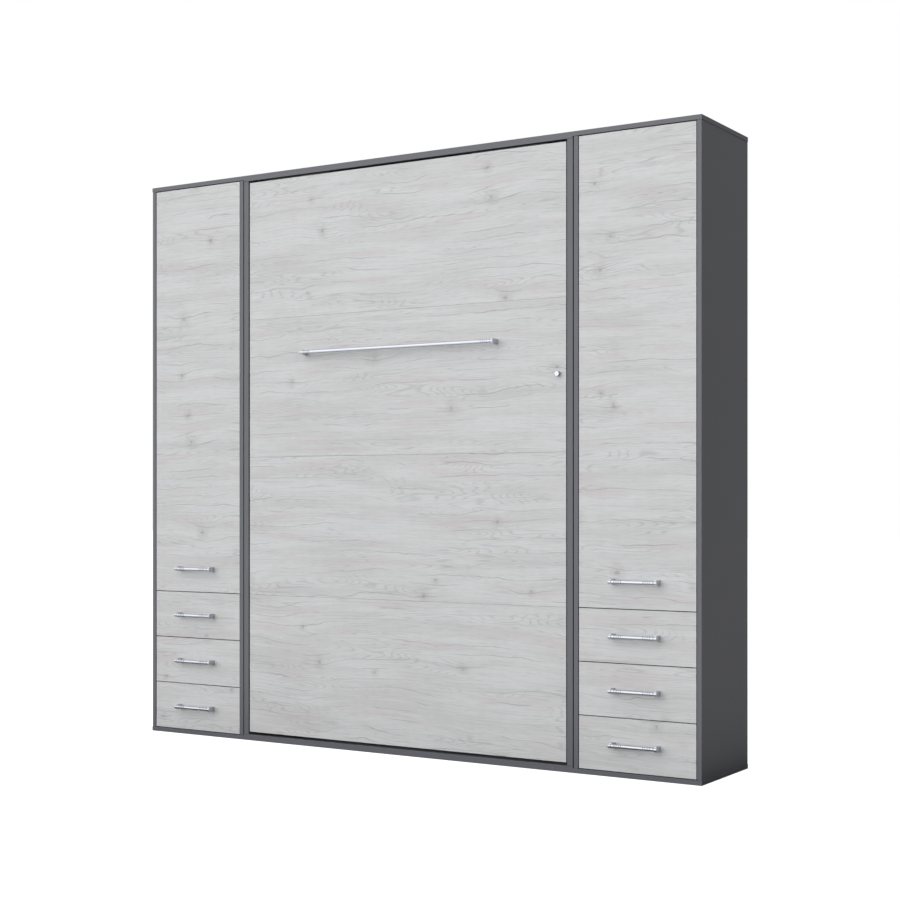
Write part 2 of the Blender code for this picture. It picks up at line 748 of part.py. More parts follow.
def frame_box(name, margin, y_low, y_high):
    """A block of the frame's outline, taken in by a margin on all four sides."""
    return block(
        name,
        (-FRAME_HALF + margin, y_low, FRAME_LOW + margin),
        (FRAME_HALF - margin, y_high, FRAME_HIGH - margin),
        BLACK_STEEL,
    )


def leg_stud(side, word):
    """A turned stud on the foot end of the frame: washer, pin and flat head."""
    leg_top = LEG_LOW + LEG_THICKNESS
    head_low = leg_top + SEAT
    steps = (
        (LEG_PIN_RADIUS, FRAME_HIGH - WELD),
        (LEG_PIN_RADIUS, FRAME_HIGH + SEAT),
        (LEG_WASHER_RADIUS, FRAME_HIGH + SEAT),
        (LEG_WASHER_RADIUS, LEG_LOW - SEAT),
        (LEG_PIN_RADIUS, LEG_LOW - SEAT),
        (LEG_PIN_RADIUS, head_low),
        (LEG_HEAD_RADIUS, head_low),
        (LEG_HEAD_RADIUS, head_low + LEG_HEAD_THICKNESS),
    )
    bm = bmesh.new()
    base = FRAME_HIGH
    profile = [bm.verts.new((0, 0, steps[0][1] - base))]
    profile += [bm.verts.new((radius, 0, z - base)) for radius, z in steps]
    profile.append(bm.verts.new((0, 0, steps[-1][1] - base)))
    edges = [bm.edges.new(pair) for pair in zip(profile, profile[1:])]
    bmesh.ops.spin(
        bm,
        geom=profile + edges,
        cent=(0, 0, 0),
        axis=(0, 0, 1),
        angle=math.tau,
        steps=ROUND_SEGMENTS,
        use_merge=True,
    )
    bmesh.ops.remove_doubles(bm, verts=bm.verts, dist=0.00001)
    mesh = mesh_from(bm, f"leg_stud_{word}")
    return add_mesh(f"leg_stud_{word}", mesh, BLACK_STEEL, (side * LEG_PIN_X, LEG_PIN_Y, base))


def make_bed_frame(pivot):
    """A welded frame of steel channel, open inwards, with a bearing bracket on each side."""
    frame = frame_box("bed_frame", 0, FRAME_FRONT, FRAME_BACK)
    place(frame, frame.location, pivot)
    opening = frame_box("frame_opening", RAIL_WIDTH, FRAME_FRONT - OVERCUT, FRAME_BACK + OVERCUT)
    channel = frame_box(
        "frame_channel", RAIL_WALL, FRAME_FRONT + RAIL_WALL, FRAME_BACK - RAIL_WALL
    )
    cut(frame, opening, channel)
    for side, word in ((-1, "left"), (1, "right")):
        wall = side * (FRAME_HALF - WELD)
        face = side * (FRAME_HALF + BRACKET_THICKNESS)
        plate = block(
            f"bearing_bracket_{word}",
            (
                min(wall, face),
                FRAME_FRONT + SEAT,
                SPRING_LOW.y - BRACKET_MARGIN,
            ),
            (
                max(wall, face),
                SPRING_LOW.x + BRACKET_MARGIN,
                PIVOT_Z + 2 * BEARING_RADIUS,
            ),
            BLACK_STEEL,
        )
        boss = rod(
            f"bearing_boss_{word}",
            BEARING_RADIUS,
            (wall, PIVOT_Y, PIVOT_Z),
            (side * (FRAME_HALF + BRACKET_THICKNESS + BEARING_LENGTH), PIVOT_Y, PIVOT_Z),
            BLACK_STEEL,
        )
        bore = rod(
            f"bearing_bore_{word}",
            AXLE_RADIUS + RUNNING,
            (side * (FRAME_HALF - RAIL_WALL - OVERCUT), PIVOT_Y, PIVOT_Z),
            (
                side * (FRAME_HALF + BRACKET_THICKNESS + BEARING_LENGTH + OVERCUT),
                PIVOT_Y,
                PIVOT_Z,
            ),
            BLACK_STEEL,
        )
        join(frame, plate, boss, leg_stud(side, word))
        cut(frame, bore)


def make_slat_base(pivot):
    """Slats on two bearers that lie in the frame's channel."""
    bearer_out = FRAME_HALF - RAIL_WALL - SEAT
    bearer_in = bearer_out - SLAT_BEARER_WIDTH
    bearer_front = FRAME_FRONT + RAIL_WALL + SEAT
    slat_front = SLATS_BACK - SLAT_THICKNESS
    z_low = FRAME_LOW + RAIL_WIDTH + SLAT_END_PLAY
    z_high = FRAME_HIGH - RAIL_WIDTH - SLAT_END_PLAY
    base = block(
        "slat_base",
        (-bearer_out, bearer_front, z_low),
        (-bearer_in, slat_front + WELD, z_high),
        BIRCH,
        pivot,
    )
    other = block(
        "slat_bearer_right",
        (bearer_in, bearer_front, z_low),
        (bearer_out, slat_front + WELD, z_high),
        BIRCH,
    )
    join(base, other)
    step = (z_high - z_low - SLAT_WIDTH) / (SLAT_COUNT - 1)
    for index in range(SLAT_COUNT):
        low = z_low + index * step
        slat = block(
            f"slat_{index + 1}",
            (-bearer_out + SLAT_INSET, slat_front, low + (0 if index else SLAT_INSET)),
            (
                bearer_out - SLAT_INSET,
                SLATS_BACK,
                low + SLAT_WIDTH - (SLAT_INSET if index == SLAT_COUNT - 1 else 0),
            ),
            BIRCH,
        )
        join(base, slat)


def make_mattress(pivot):
    half = MATTRESS_WIDTH / 2
    mattress = block(
        "mattress",
        (-half, MATTRESS_FRONT, MATTRESS_LOW + SEAT),
        (half, MATTRESS_BACK, MATTRESS_LOW + MATTRESS_LENGTH),
        TICKING,
        pivot,
    )
    bevel = mattress.modifiers.new("round_edges", "BEVEL")
    bevel.width = MATTRESS_EDGE_RADIUS
    bevel.segments = 2
    bevel.limit_method = "NONE"


def make_strap(pivot):
    """A band over the mattress, with a tab on the frame at each end."""
    inner = MATTRESS_WIDTH / 2 + SEAT
    outer = inner + STRAP_THICKNESS
    tab = outer + STRAP_TAB
    foot = FRAME_BACK + SEAT
    foot_top = foot + STRAP_THICKNESS
    over = MATTRESS_BACK + SEAT
    over_top = over + STRAP_THICKNESS
    right_half = [
        (tab, foot),
        (tab, foot_top),
        (outer, foot_top),
        (outer, over_top),
    ]
    inside = [(inner, over), (inner, foot)]
    outline = right_half + [(-x, y) for x, y in reversed(right_half)]
    outline += [(-x, y) for x, y in reversed(inside)] + inside
    height = MATTRESS_LOW + STRAP_HEIGHT_SHARE * MATTRESS_LENGTH
    mesh = outline_mesh("mattress_strap", outline, STRAP_WIDTH, "z")
    add_mesh("mattress_strap", mesh, WEBBING, (0, 0, height), pivot)


def make_lock(pivot):
    """A knob on a barrel through the front board, with a cam behind that points up, unlocked."""
    axis = empty("lock_axis", (LOCK_X, BED_FACE, LOCK_Z), pivot)
    cam_back = CAM_FRONT + LOCK_CAM_THICKNESS
    lock = rod(
        "bed_lock",
        LOCK_BARREL_RADIUS,
        (LOCK_X, BED_FACE - LOCK_KNOB_LENGTH + WELD, LOCK_Z),
        (LOCK_X, cam_back, LOCK_Z),
        CHROME,
        axis,
    )
    knob = rod(
        "lock_knob",
        LOCK_KNOB_RADIUS,
        (LOCK_X, BED_FACE - LOCK_KNOB_LENGTH, LOCK_Z),
        (LOCK_X, BED_FACE - SEAT, LOCK_Z),
        CHROME,
    )
    half = LOCK_CAM_WIDTH / 2
    cam = block(
        "lock_cam",
        (LOCK_X - half, CAM_FRONT, LOCK_Z - half),
        (LOCK_X + half, cam_back, LOCK_Z + LOCK_CAM_LENGTH),
        CHROME,
    )
    join(lock, knob, cam)


def make_leg(side, word, pivot):
    """A flat steel leg that lies across the foot end and swings out about its stud."""
    axis = empty(f"leg_{word}_axis", (side * LEG_PIN_X, LEG_PIN_Y, FRAME_HIGH), pivot)
    half = LEG_WIDTH / 2
    steps = 8
    arc = [math.radians(-90 + 180 * step / steps) for step in range(steps + 1)]
    rounded = [(half * math.cos(a), half * math.sin(a)) for a in arc]
    outline = rounded + [(-LEG_LENGTH, half), (-LEG_LENGTH, -half)]
    outline = [(side * x, y) for x, y in outline]
    mesh = outline_mesh(f"leg_{word}", outline, LEG_THICKNESS, "z")
    middle = LEG_LOW + LEG_THICKNESS / 2
    leg = add_mesh(
        f"leg_{word}", mesh, BLACK_STEEL, (side * LEG_PIN_X, LEG_PIN_Y, middle), axis
    )
    hole = rod(
        f"leg_hole_{word}",
        LEG_PIN_RADIUS + RUNNING,
        (side * LEG_PIN_X, LEG_PIN_Y, LEG_LOW - OVERCUT),
        (side * LEG_PIN_X, LEG_PIN_Y, LEG_LOW + LEG_THICKNESS + OVERCUT),
        BLACK_STEEL,
    )
    cut(leg, hole)


def make_bed():
    make_bed_carcass()
    pivot = empty("bed_pivot", (0, PIVOT_Y, PIVOT_Z))
    make_bed_fronts(pivot)
    make_bed_frame(pivot)
    make_slat_base(pivot)
    make_mattress(pivot)
    make_strap(pivot)
    make_lock(pivot)
    pull_mesh = handle_mesh("bed_handle", BED_HANDLE_LENGTH, BED_HANDLE_STANDOFF)
    pull_z = LOCK_BOARD_LOW + BED_HANDLE_RISE
    add_mesh("bed_handle", pull_mesh, CHROME, (0, BED_FACE, pull_z), pivot)
    for side, word in ((-1, "left"), (1, "right")):
        make_mechanism_plate(side, word)
        make_gas_spring(side, word)
        make_leg(side, word, pivot)


def main():
    clear_scene()
    make_boards_across()
    make_cabinets()
    make_bed()


main()
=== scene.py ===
# Murphy wall bed between two narrow cabinets: finishes and fine parts over the CAD frame.
import math

import bmesh
import bpy
from mathutils import Matrix, Vector
from mathutils.bvhtree import BVHTree


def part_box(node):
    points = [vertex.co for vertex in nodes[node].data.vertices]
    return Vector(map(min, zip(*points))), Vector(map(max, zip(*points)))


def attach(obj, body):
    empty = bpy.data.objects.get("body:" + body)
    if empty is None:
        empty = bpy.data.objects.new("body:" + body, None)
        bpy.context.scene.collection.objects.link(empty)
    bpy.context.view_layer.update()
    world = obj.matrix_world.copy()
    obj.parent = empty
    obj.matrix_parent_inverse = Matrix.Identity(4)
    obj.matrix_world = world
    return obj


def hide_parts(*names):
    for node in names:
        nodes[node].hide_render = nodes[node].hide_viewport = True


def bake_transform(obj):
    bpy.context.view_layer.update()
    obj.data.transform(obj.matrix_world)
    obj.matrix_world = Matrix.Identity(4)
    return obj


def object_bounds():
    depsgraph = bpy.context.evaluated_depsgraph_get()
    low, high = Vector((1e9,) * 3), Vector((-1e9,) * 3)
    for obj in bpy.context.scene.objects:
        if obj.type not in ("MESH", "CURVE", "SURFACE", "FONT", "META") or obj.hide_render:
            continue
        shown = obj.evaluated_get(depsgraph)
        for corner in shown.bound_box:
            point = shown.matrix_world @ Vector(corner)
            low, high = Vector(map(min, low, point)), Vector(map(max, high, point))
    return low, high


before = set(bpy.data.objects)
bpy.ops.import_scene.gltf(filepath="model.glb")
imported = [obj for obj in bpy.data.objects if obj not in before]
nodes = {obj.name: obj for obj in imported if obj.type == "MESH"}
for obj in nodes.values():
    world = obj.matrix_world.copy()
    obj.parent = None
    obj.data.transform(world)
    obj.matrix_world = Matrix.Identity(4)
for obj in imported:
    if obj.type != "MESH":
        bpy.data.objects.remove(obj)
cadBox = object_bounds()
scene = bpy.context.scene
print("frame loaded:", len(nodes), "nodes")

sides = {"left": 1, "right": -1}  # with the direction that its inner face looks in
drawerNumbers = (1, 2, 3)
boardNumbers = (1, 2, 3, 4)
seat = 0.0003  # between the frame's touching solids


def corners(name):
    low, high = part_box(name)
    return Vector(low), Vector(high)


def faceOf(name, facing):
    # where along X a solid ends, in the direction that it faces
    low, high = corners(name)
    return high.x if facing > 0 else low.x


# colours and nodes

def linearColour(hexCode):
    # sRGB hex to the linear values that the shader takes
    channels = [int(hexCode[place:place + 2], 16) / 255 for place in (1, 3, 5)]
    linear = [c / 12.92 if c <= 0.04045 else ((c + 0.055) / 1.055) ** 2.4 for c in channels]
    return (*linear, 1.0)


def addNode(tree, kind, settings=None):
    # a setting is a property, or an input (by name or number) that takes a value or another node's output
    node = tree.nodes.new("ShaderNode" + kind)
    for key, value in (settings or {}).items():
        if isinstance(value, bpy.types.NodeSocket):
            tree.links.new(value, node.inputs[key])
        elif isinstance(key, str) and hasattr(node, key):
            setattr(node, key, value)
        else:
            node.inputs[key].default_value = value
    return node


def emptyTree(holder):
    # the node tree of a material or world, with nothing in it yet
    holder.use_nodes = True
    holder.node_tree.nodes.clear()
    return holder.node_tree


def spanned(tree, value, low, high, lowOut=0.0, highOut=1.0, kind="LINEAR"):
    # goes from one value to the other as the input goes from low to high
    return addNode(tree, "MapRange", {"interpolation_type": kind, 0: value, 1: low, 2: high, 3: lowOut,
                                      4: highOut}).outputs[0]


def smoothSpan(tree, value, *ends):
    return spanned(tree, value, *ends, kind="SMOOTHSTEP")


def mathsOn(tree, operation, *values):
    return addNode(tree, "Math", {"operation": operation, **dict(enumerate(values))}).outputs[0]


def vectorMathsOn(tree, operation, *values):
    node = addNode(tree, "VectorMath", {"operation": operation, **dict(enumerate(values))})
    return node.outputs["Value" if operation in ("LENGTH", "DOT_PRODUCT") else "Vector"]


def noiseOn(tree, place, scale, detail, gain=0.5, dimensions="3D"):
    return addNode(tree, "TexNoise", {"noise_dimensions": dimensions, "Vector": place, "Scale": scale,
                                      "Detail": detail, "Roughness": gain}).outputs["Fac"]


def blended(tree, share, first, second):
    # between two colours, each given as hex or as another node's output
    first, second = (linearColour(end) if isinstance(end, str) else end for end in (first, second))
    return addNode(tree, "Mix", {"data_type": "RGBA", 0: share, 6: first, 7: second}).outputs[2]


def newMaterial(name, colour, roughness, metallic=0.0):
    made = bpy.data.materials.new(name)
    made.use_nodes = True
    shader = made.node_tree.nodes["Principled BSDF"]
    shader.inputs["Base Color"].default_value = linearColour(colour)
    shader.inputs["Roughness"].default_value = roughness
    shader.inputs["Metallic"].default_value = metallic
    made.diffuse_color = linearColour(colour)
    place = addNode(made.node_tree, "TexCoord").outputs["Object"]
    return made, made.node_tree, shader, place


def addBump(tree, shader, height, strength, distance):
    bump = addNode(tree, "Bump", {"Strength": strength, "Distance": distance, "Height": height})
    tree.links.new(bump.outputs["Normal"], shader.inputs["Normal"])


# finishes

paleOak = {
    "light": "#d2d3d4",  # limewashed face
    "shade": "#c0c0bf",  # denser growth
    "blush": "#cac2c3",  # warmer heartwood patches
    "crack": "#808184",  # drying checks filled with grey wax
    "knot": "#807978",
    "roughness": (0.46, 0.60),
    "fibreSpan": (0.3, 0.8),  # from smoothest to roughest
    "poreShare": 0.5,
    "pores": (0.25, 0.0002),  # strength and height of the bump
    "shades": {  # length and height, noise detail and gain, the part that shows, how much, which colour
        "patches": ((0.60, 0.050), (4.0, 0.60), (0.38, 0.70), 0.50, "shade"),
        "warmth": ((0.42, 0.045), (3.0, 0.55), (0.50, 0.74), 0.50, "blush"),
        "streaks": ((0.20, 0.006), (4.0, 0.65), (0.48, 0.72), 0.50, "shade"),
        "fibres": ((0.045, 0.0016), (2.0, 0.60), (0.50, 0.78), 0.22, "crack"),
    },
}

grainFlow = {"size": (0.95, 0.24), "noise": (2.0, 0.45), "height": 0.046}  # how far the grain wanders

oakChecks = {
    "wander": ((0.42, 0.18), (4.5, 0.50), 2.1),
    "deep": (0.036, 0.0017),  # spacing and half thickness
    "deepSeen": ((0.46, 0.030), (0.46, 0.66)),
    "fine": (0.013, 0.0010),
    "fineSeen": ((0.38, 0.022), (0.40, 0.64)),
    "fineShare": 0.45,
    "share": 0.62,
    "sunk": -0.8,
}

oakRings = {
    "size": (0.60, 0.060),
    "noise": (2.0, 0.30),
    "count": 24.0,
    "width": 0.22,
    "place": (0.45, 0.08),
    "placeSeen": (0.44, 0.62),
    "share": 0.25,
}

oakKnots = {
    "cell": (0.38, 0.17),  # at most one knot in each
    "scatter": 0.95,
    "chosen": (0.50, 0.52),
    "size": (0.021, 0.020),  # half length and half height of a middling one
    "sizes": (0.55, 1.15),
    "bendReach": 0.40,
    "bend": 0.22,
    "smudge": (0.030, 0.018),
    "ragged": (3.0, 0.6, 1.6),  # detail and gain of the ragged edge, and how far it goes
    "core": (0.05, 0.45),
    "coreShare": 0.42,
    "halo": (0.20, 2.00),
    "haloShare": 0.18,
}


def makePaleOak(name, shift):
    # Pale washed oak decor paper under melamine, pressed on particle board: a dull soft sheen, and grain
    # that lies across the board with short grey checks and small knots.
    made, tree, shader, place = newMaterial(name, paleOak["light"], paleOak["roughness"][0])
    face = addNode(tree, "Mapping",
                   {"Location": shift, "Rotation": (-math.pi / 2, 0, 0), "Vector": place}).outputs[0]

    def stretched(vector, size):
        # one pattern unit is this long and high on the board
        return vectorMathsOn(tree, "MULTIPLY", vector, (1 / size[0], 1 / size[1], 0))

    def noise(place, size, detail, gain=0.5):
        return noiseOn(tree, stretched(place, size), 1.0, detail, gain, "2D")

    def span(value, *ends):
        return smoothSpan(tree, value, *ends)

    def maths(operation, *values):
        return mathsOn(tree, operation, *values)

    def mixed(first, pattern, share, tone):
        return blended(tree, maths("MULTIPLY", pattern, share), first, paleOak[tone])

    # knots first, because the grain flows round them
    cellLength, cellHeight = oakKnots["cell"]
    knotLength, knotHeight = oakKnots["size"]
    cells = stretched(face, oakKnots["cell"])
    knots = addNode(tree, "TexVoronoi",
                    {"voronoi_dimensions": "2D", "feature": "F1", "Scale": 1.0,
                     "Randomness": oakKnots["scatter"], "Vector": cells})
    chance = addNode(tree, "SeparateColor", {0: knots.outputs["Color"]})
    chosen = span(chance.outputs[0], *oakKnots["chosen"])
    nearKnot = span(knots.outputs["Distance"], 0.0, oakKnots["bendReach"], 1.0, 0.0)
    nearKnot = maths("MULTIPLY", nearKnot, chosen)
    offset = vectorMathsOn(tree, "SUBTRACT", cells, knots.outputs["Position"])
    offset = vectorMathsOn(tree, "MULTIPLY", offset, (cellLength / knotLength, cellHeight / knotHeight, 0))
    fromKnot = vectorMathsOn(tree, "LENGTH", offset)
    fromKnot = maths("DIVIDE", fromKnot, span(chance.outputs[1], 0.0, 1.0, *oakKnots["sizes"]))

    bend = noise(face, grainFlow["size"], *grainFlow["noise"])
    bend = maths("ADD", bend, maths("MULTIPLY", nearKnot, oakKnots["bend"]))
    lift = addNode(tree, "CombineXYZ", {1: maths("MULTIPLY", bend, grainFlow["height"])}).outputs[0]
    flow = vectorMathsOn(tree, "ADD", face, lift)

    colour = addNode(tree, "RGB").outputs[0]
    colour.default_value = linearColour(paleOak["light"])
    for size, kind, seen, share, tone in paleOak["shades"].values():
        fibres = noise(flow, size, *kind)  # the last of the shades is the finest
        colour = mixed(colour, span(fibres, *seen), share, tone)

    # year rings show as fine close lines in some patches
    rings = noise(flow, oakRings["size"], *oakRings["noise"])
    rings = maths("FRACT", maths("MULTIPLY", rings, oakRings["count"]))
    rings = span(maths("ABSOLUTE", maths("SUBTRACT", rings, 0.5)), 0.0, oakRings["width"], 1.0, 0.0)
    ringPlace = span(noise(face, oakRings["place"], 1.0), *oakRings["placeSeen"])
    colour = mixed(colour, maths("MULTIPLY", rings, ringPlace), oakRings["share"], "crack")

    # checks: thin lines along the grain, each wandering by itself and seen only in places
    height = addNode(tree, "SeparateXYZ", {0: flow}).outputs[1]
    size, kind, amount = oakChecks["wander"]
    wander = maths("MULTIPLY", noise(flow, size, *kind), amount)

    def checkLines(pitch, thickness, seen):
        across = maths("ADD", maths("DIVIDE", height, pitch), wander)
        off = maths("ABSOLUTE", maths("SUBTRACT", maths("FRACT", across), 0.5))
        return maths("MULTIPLY", span(off, 0.0, thickness / pitch, 1.0, 0.0), seen)

    def checksSeen(size, part):
        return span(noise(flow, size, 2.0), *part)

    deepSeen = maths("MAXIMUM", checksSeen(*oakChecks["deepSeen"]), nearKnot)
    deep = checkLines(*oakChecks["deep"], deepSeen)
    fine = checkLines(*oakChecks["fine"], checksSeen(*oakChecks["fineSeen"]))
    checks = maths("MAXIMUM", deep, maths("MULTIPLY", fine, oakChecks["fineShare"]))
    colour = mixed(colour, checks, oakChecks["share"], "crack")

    detail, gain, amount = oakKnots["ragged"]
    smudge = maths("SUBTRACT", noise(face, oakKnots["smudge"], detail, gain), 0.5)
    ragged = maths("ADD", fromKnot, maths("MULTIPLY", smudge, amount))
    for part in ("halo", "core"):
        spot = maths("MULTIPLY", span(ragged, *oakKnots[part], 1.0, 0.0), chosen)
        colour = mixed(colour, spot, oakKnots[part + "Share"], "knot")
    tree.links.new(colour, shader.inputs["Base Color"])

    rough = span(fibres, *paleOak["fibreSpan"], *paleOak["roughness"])
    tree.links.new(rough, shader.inputs["Roughness"])
    pores = maths("MULTIPLY", fibres, paleOak["poreShare"])
    pores = maths("ADD", pores, maths("MULTIPLY", checks, oakChecks["sunk"]))
    addBump(tree, shader, pores, *paleOak["pores"])
    return made


anthracite = {
    "colour": "#67686e",
    "deep": "#63646a",
    "cloud": 0.35,
    "grit": 0.0011,  # coarser than the real 0.3 mm, so that it shows
    "specular": 0.33,
    "roughness": (0.30, 0.42),
    "bump": (0.18, 0.0003),
}


def makeAnthracite():
    # Graphite melamine on particle board: one even dark grey with the fine pearl texture of its press plate.
    low, high = anthracite["roughness"]
    made, tree, shader, place = newMaterial("graphiteMelamine", anthracite["colour"], high)
    cloud = noiseOn(tree, place, 1 / anthracite["cloud"], 3.0)
    grit = noiseOn(tree, place, 1 / anthracite["grit"], 2.0)
    colour = blended(tree, cloud, anthracite["colour"], anthracite["deep"])
    tree.links.new(colour, shader.inputs["Base Color"])
    shader.inputs["Specular IOR Level"].default_value = anthracite["specular"]
    tree.links.new(spanned(tree, grit, 0, 1, low, high), shader.inputs["Roughness"])
    addBump(tree, shader, grit, *anthracite["bump"])
    return made


def makeGrained(name, colour, deep, roughness, size, bump):
    # a plain board with a pattern of this length across the unit and this height
    made, tree, shader, place = newMaterial(name, colour, roughness)
    grain = vectorMathsOn(tree, "MULTIPLY", place, (1 / size[0], 1 / size[1], 1 / size[1]))
    pattern = noiseOn(tree, grain, 1.0, 4.0, 0.6)
    share = spanned(tree, pattern, *patternDetail["grainSeen"])
    tree.links.new(blended(tree, share, colour, deep), shader.inputs["Base Color"])
    addBump(tree, shader, pattern, bump, patternDetail["grainDepth"])
    return made


def makeMetal(name, colour, roughness, metallic, grain, bump):
    # plated or coated steel, or a moulded surface: grain is the size of its fine pattern
    made, tree, shader, place = newMaterial(name, colour, roughness, metallic)
    pattern = noiseOn(tree, place, 1 / grain, 3.0)
    smoother, rougher = patternDetail["veil"]
    rough = spanned(tree, pattern, 0, 1, roughness - smoother, roughness + rougher)
    tree.links.new(rough, shader.inputs["Roughness"])
    addBump(tree, shader, pattern, bump, patternDetail["metalDepth"])
    return made


def makeWoven(name, colour, deep, roughness, thread):
    # crossed threads, one over and one under, drawn from two waves
    made, tree, shader, place = newMaterial(name, colour, roughness)
    waves = [
        addNode(tree, "TexWave",
                {"wave_type": "BANDS", "bands_direction": direction, "Scale": math.tau / (20 * thread),
                 **patternDetail["threads"], "Vector": place}).outputs["Fac"]
        for direction in ("X", "Z")
    ]
    weave = mathsOn(tree, "MULTIPLY", *waves)
    tree.links.new(blended(tree, weave, deep, colour), shader.inputs["Base Color"])
    shader.inputs["Sheen Weight"].default_value = patternDetail["sheen"]
    addBump(tree, shader, weave, *patternDetail["weaveBump"])
    return made


patternDetail = {
    "grainSeen": (0.35, 0.72),
    "grainDepth": 0.0003,
    "veil": (0.06, 0.08),  # the pattern makes a metal this much smoother and rougher
    "metalDepth": 0.0002,
    "threads": {"Distortion": 0.4, "Detail": 1.0, "Detail Scale": 3.0},
    "sheen": 0.2,
    "weaveBump": (0.5, 0.0004),
    # the spacer foam's low shine keeps the joint between the units near black: painted shade of the gap
    "gapShadeFoamShine": 0.08,  # near black
}

metals = {  # colour, roughness, metallic, size of the fine pattern, strength of its bump
    "satinChromePlate": ("#bec1c8", 0.42, 1.0, 0.0012, 0.03),  # bright, slightly veiled
    "darkNickelPlate": ("#a4a5aa", 0.38, 1.0, 0.0012, 0.03),  # the lock's body
    "zincPlatedSteel": ("#b9bbc0", 0.36, 1.0, 0.0020, 0.05),  # pressed, bluish grey
    "blackPowderCoat": ("#2a2a2c", 0.50, 0.0, 0.0009, 0.20),  # fine orange peel
    "blackRubber": ("#1d1d1f", 0.78, 0.0, 0.0015, 0.15),  # moulded, dull
    # near black and dull so that the joint between the units reads dark: painted shade of the gap
    "gapShadeFoamStrip": ("#121213", 0.95, 0.0, 0.0012, 0.30),  # swallows the light
    "greyNylon": ("#55575b", 0.45, 0.0, 0.0010, 0.05),  # moulded, faint sheen
}

boards = {  # colour, deeper colour, roughness, length and height of the pattern, strength of its bump
    "coatedDrawerBoard": ("#d4d4d2", "#cbcbc9", 0.58, (0.004, 0.0008), 0.10),
    "paintedHardboard": ("#6c6d71", "#66676b", 0.62, (0.0015, 0.0015), 0.20),
    "steamedBeech": ("#d8b488", "#c39a6b", 0.46, (0.060, 0.0022), 0.15),
}

fabrics = {  # colour, deeper colour, roughness, width of a thread
    "polyesterWebbing": ("#2d2e31", "#151517", 0.80, 0.0016),
    "damaskTicking": ("#e2dfd8", "#cfcbc3", 0.90, 0.0018),
    "borderTicking": ("#9a9ca1", "#83858a", 0.90, 0.0018),
}

graphite = makeAnthracite()
satinChrome, darkNickel, zincSteel, blackCoat, blackRubber, gapShadeFoam, greyNylon = (
    makeMetal(name, *values) for name, values in metals.items())
gapShadeFoamShader = gapShadeFoam.node_tree.nodes["Principled BSDF"]
gapShadeFoamShader.inputs["Specular IOR Level"].default_value = patternDetail["gapShadeFoamShine"]
drawerBoard, backSheet, beech = (makeGrained(name, *values) for name, values in boards.items())
webbing, ticking, borderTicking = (makeWoven(name, *values) for name, values in fabrics.items())
print("finishes made")


# shared shaping

def finishPiece(name, bm, material, body, replaced=(), smoothAngle=40):
    # turns a bmesh into a piece that rides on a body; with no body, it is attached to none
    bmesh.ops.remove_doubles(bm, verts=bm.verts, dist=0.00002)
    bmesh.ops.recalc_face_normals(bm, faces=bm.faces)
    mesh = bpy.data.meshes.new(name)
    bm.to_mesh(mesh)
    bm.free()
    mesh.materials.append(material)
    mesh.shade_smooth()
    mesh.set_sharp_from_angle(angle=math.radians(smoothAngle))
    piece = bpy.data.objects.new(name, mesh)
    scene.collection.objects.link(piece)
    if body:
        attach(piece, body)
    if replaced:
        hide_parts(*replaced)
    return piece


def shared(outline, rise, radius):
    # a profile for addTurned, from shares of its height and radius
    return [(rise * along, radius * outwards) for along, outwards in outline]


def addTurned(bm, profile, place, axis, steps=32):
    # spins (distance along the axis, radius) pairs about the axis, with both ends closed
    before = set(bm.verts)
    outline = [(profile[0][0], 0), *profile]
    if profile[-1][1]:
        outline.append((profile[-1][0], 0))
    line = [bm.verts.new((0, radius, along)) for along, radius in outline]
    edges = [bm.edges.new(pair) for pair in zip(line, line[1:])]
    bmesh.ops.spin(bm, geom=line + edges, cent=(0, 0, 0), axis=(0, 0, 1), angle=math.tau,
                   steps=steps, use_merge=True)
    made = [vert for vert in bm.verts if vert not in before]
    turn = Vector((0, 0, 1)).rotation_difference(Vector(axis)).to_matrix().to_4x4()
    bmesh.ops.transform(bm, matrix=Matrix.Translation(place) @ turn, verts=made)


def addBlock(bm, low, high, edge, segments=2):
    # a block with rounded edges between two corners
    low = Vector(low)
    high = Vector(high)
    placed = Matrix.Translation((low + high) / 2) @ Matrix.Diagonal((*(high - low), 1))
    made = bmesh.ops.create_cube(bm, size=1, matrix=placed)
    edges = {link for vert in made["verts"] for link in vert.link_edges}
    bmesh.ops.bevel(bm, geom=list(edges), affect="EDGES", offset=edge, segments=segments,
                    profile=0.5, material=-1)


def cutLongEdges(bm, least, cuts):
    # divides the edges along X that are longer than this
    long = [edge for edge in bm.edges if abs(edge.verts[0].co.x - edge.verts[1].co.x) > least]
    bmesh.ops.subdivide_edges(bm, edges=long, cuts=cuts)


def joinRings(bm, rings, closed=False):
    # faces between each ring of points and the next
    following = rings[1:] + rings[:1] if closed else rings[1:]
    for first, second in zip(rings, following):
        for corner in range(len(first)):
            after = (corner + 1) % len(first)
            bm.faces.new((first[corner], first[after], second[after], second[corner]))


# camera, floor and light

camera = {
    "right": 2.0625,  # from the right side of the part
    "front": 4.840,  # from its front face
    "height": 0.928,
    "turn": 31.97,
    "lens": 64.42,
    "shift": 0.054,
}


def makeCamera():
    made = bpy.data.objects.new("camera", bpy.data.cameras.new("camera"))
    scene.collection.objects.link(made)
    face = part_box("top_board")[0][1]
    made.location = (cadBox[1][0] + camera["right"], face - camera["front"], camera["height"])
    made.rotation_euler = (math.pi / 2, 0, math.radians(camera["turn"]))
    made.data.lens = camera["lens"]
    made.data.shift_y = camera["shift"]
    made.data.clip_end = 100
    scene.camera = made


